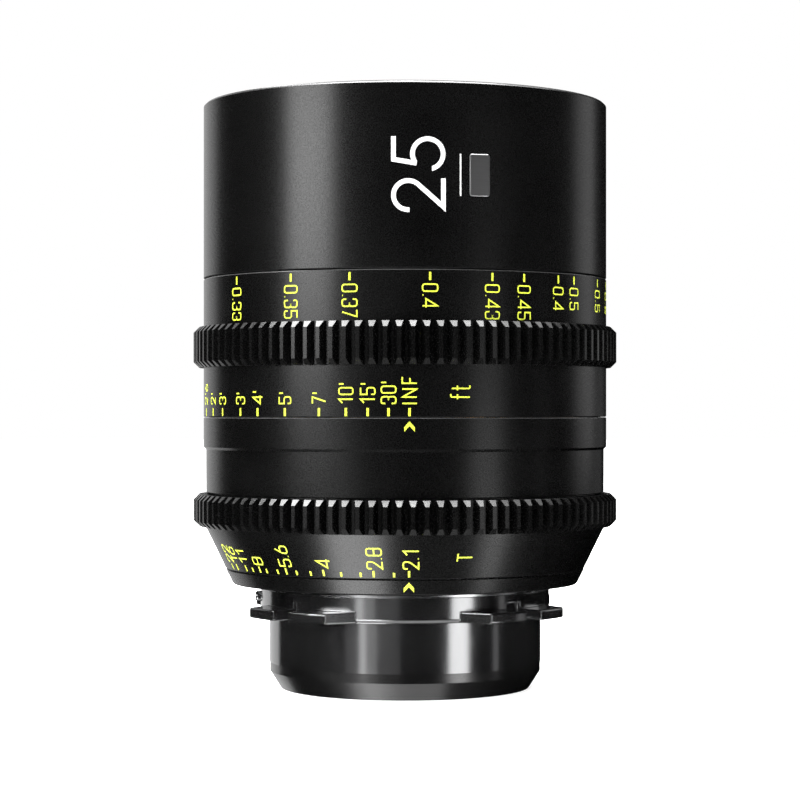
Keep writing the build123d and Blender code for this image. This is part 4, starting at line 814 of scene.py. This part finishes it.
def bowl(centre_x, centre_y, radius, start, end):
    """Points on the arc of a digit, between two angles."""
    steps = max(2, round(abs(end - start) / bowl_step_angle))
    turns = [radians(start + (end - start) * step / steps) for step in range(steps + 1)]
    return [(centre_x + radius * cos(turn), centre_y + radius * sin(turn)) for turn in turns]


number_mesh = bmesh.new()
number_place = printed_at(number_angle, front_low[2] + number_rise, on_barrel)
number_strokes = ((bowl(*two_bowl) + two_foot, False), (five_flag, False), (bowl(*five_bowl), True))
for stroke, ends_level in number_strokes:
    line = [Vector((x * mm, (y - number_middle) * mm * number_width_share)) for x, y in stroke]
    brushed(number_mesh, line, False, number_stroke, number_place, ends_level)
tick(number_mesh, printed_at(white_line_angle, badge_low[2], on_barrel), white_line_length,
     white_line_width)
fitted_piece("focal_length_paint", number_mesh, white_paint, "body")

# Filter thread: a ridge of 0.75 mm pitch, cut round the mouth of the front barrel for 77 mm filters
# and anodised with it. It is one closed helical strip with a flat crest.
thread_radius = 38.5 * mm
thread_root_embed = 0.03 * mm
thread_depth = 0.38 * mm
thread_pitch = 0.75 * mm
thread_root_share = 0.42
thread_crest_share = 0.06
thread_foot_inset = 5.55 * mm
thread_top_inset = 0.7 * mm
thread_steps = 120
thread_black = blasted_black("satin_black_thread", deep_black, soft_black, satin_roughness, satin_specular)
thread_root = thread_radius + thread_root_embed
thread_crest = thread_radius - thread_depth
thread_outline = ((thread_root, -thread_root_share * thread_pitch),
                  (thread_crest, -thread_crest_share * thread_pitch),
                  (thread_crest, thread_crest_share * thread_pitch),
                  (thread_root, thread_root_share * thread_pitch))
thread_turns = (thread_foot_inset - thread_top_inset) / thread_pitch
thread_foot_z = front_high[2] - thread_foot_inset
thread_mesh = bmesh.new()
thread_sections = []
for step in range(round(thread_turns * thread_steps) + 1):
    turn = 360 * step / thread_steps
    level = thread_foot_z + thread_pitch * step / thread_steps
    thread_sections.append([thread_mesh.verts.new(around(turn, radius, level + rise))
                            for radius, rise in thread_outline])
for section, next_section in zip(thread_sections, thread_sections[1:]):
    for side in range(4):
        following = (side + 1) % 4
        thread_mesh.faces.new((section[side], section[following], next_section[following],
                               next_section[side]))
thread_mesh.faces.new(thread_sections[0])
thread_mesh.faces.new(thread_sections[-1][::-1])
fitted_piece("filter_thread", thread_mesh, thread_black, "body")

# Badge: a small blank plate of satin grey metal with a bevelled rim, let into a pocket in the front
# barrel beside the white line. It follows the barrel's curve.
badge_angle = 18.9
badge_width = 4.0 * mm
badge_length = badge_high[2] - badge_low[2]
badge_corner = 0.5 * mm
badge_least_corner = 0.05 * mm
badge_corner_steps = 5
badge_embed = 0.5 * mm
badge_rim_lift = 0.02 * mm
badge_face_lift = 0.13 * mm
badge_bevel = 0.17 * mm
badge_line_width = 0.08 * mm
badge_dark, badge_light = (0.16, 0.16, 0.162), (0.18, 0.18, 0.182)
badge_roughness = (0.34, 0.4)
badge_rim_dark, badge_rim_light = (0.24, 0.24, 0.242), (0.28, 0.28, 0.282)
badge_rim_roughness = (0.32, 0.38)
badge_levels = [(0.0, -badge_embed), (0.0, badge_rim_lift), (badge_bevel, badge_face_lift)]
badge_grey = turned("satin_badge_grey", badge_dark, badge_light, badge_roughness,
                    line_width=badge_line_width)
badge_rim = turned("polished_badge_rim", badge_rim_dark, badge_rim_light, badge_rim_roughness,
                   line_width=badge_line_width)


def plate_outline(inset):
    """The badge's outline, moved inwards, as (along, up) points."""
    length, width = badge_length - 2 * inset, badge_width - 2 * inset
    corner = max(badge_corner - inset, badge_least_corner)
    centres = ((length - corner, width - corner, 0), (corner, width - corner, 90),
               (corner, corner, 180), (length - corner, corner, 270))
    points = []
    for along, up, start in centres:
        for step in range(badge_corner_steps + 1):
            turn = radians(start + 90 * step / badge_corner_steps)
            points.append((along + corner * cos(turn) + inset,
                           up + corner * sin(turn) + inset - badge_width / 2))
    return points


badge_mesh = bmesh.new()
badge_place = printed_at(badge_angle, badge_low[2], on_barrel)
badge_rings = [[badge_mesh.verts.new(badge_place(*point, lift)) for point in plate_outline(inset)]
               for inset, lift in badge_levels]
for lower, upper in zip(badge_rings, badge_rings[1:]):
    for number, corner in enumerate(lower):
        following = (number + 1) % len(lower)
        side = badge_mesh.faces.new((corner, lower[following], upper[following], upper[number]))
        side.material_index = 1
badge_mesh.faces.new(badge_rings[0])
badge_mesh.faces.new(badge_rings[-1])
badge = fitted_piece("badge_plate", badge_mesh, badge_grey, "body")
badge.data.materials.append(badge_rim)
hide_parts("format_badge")
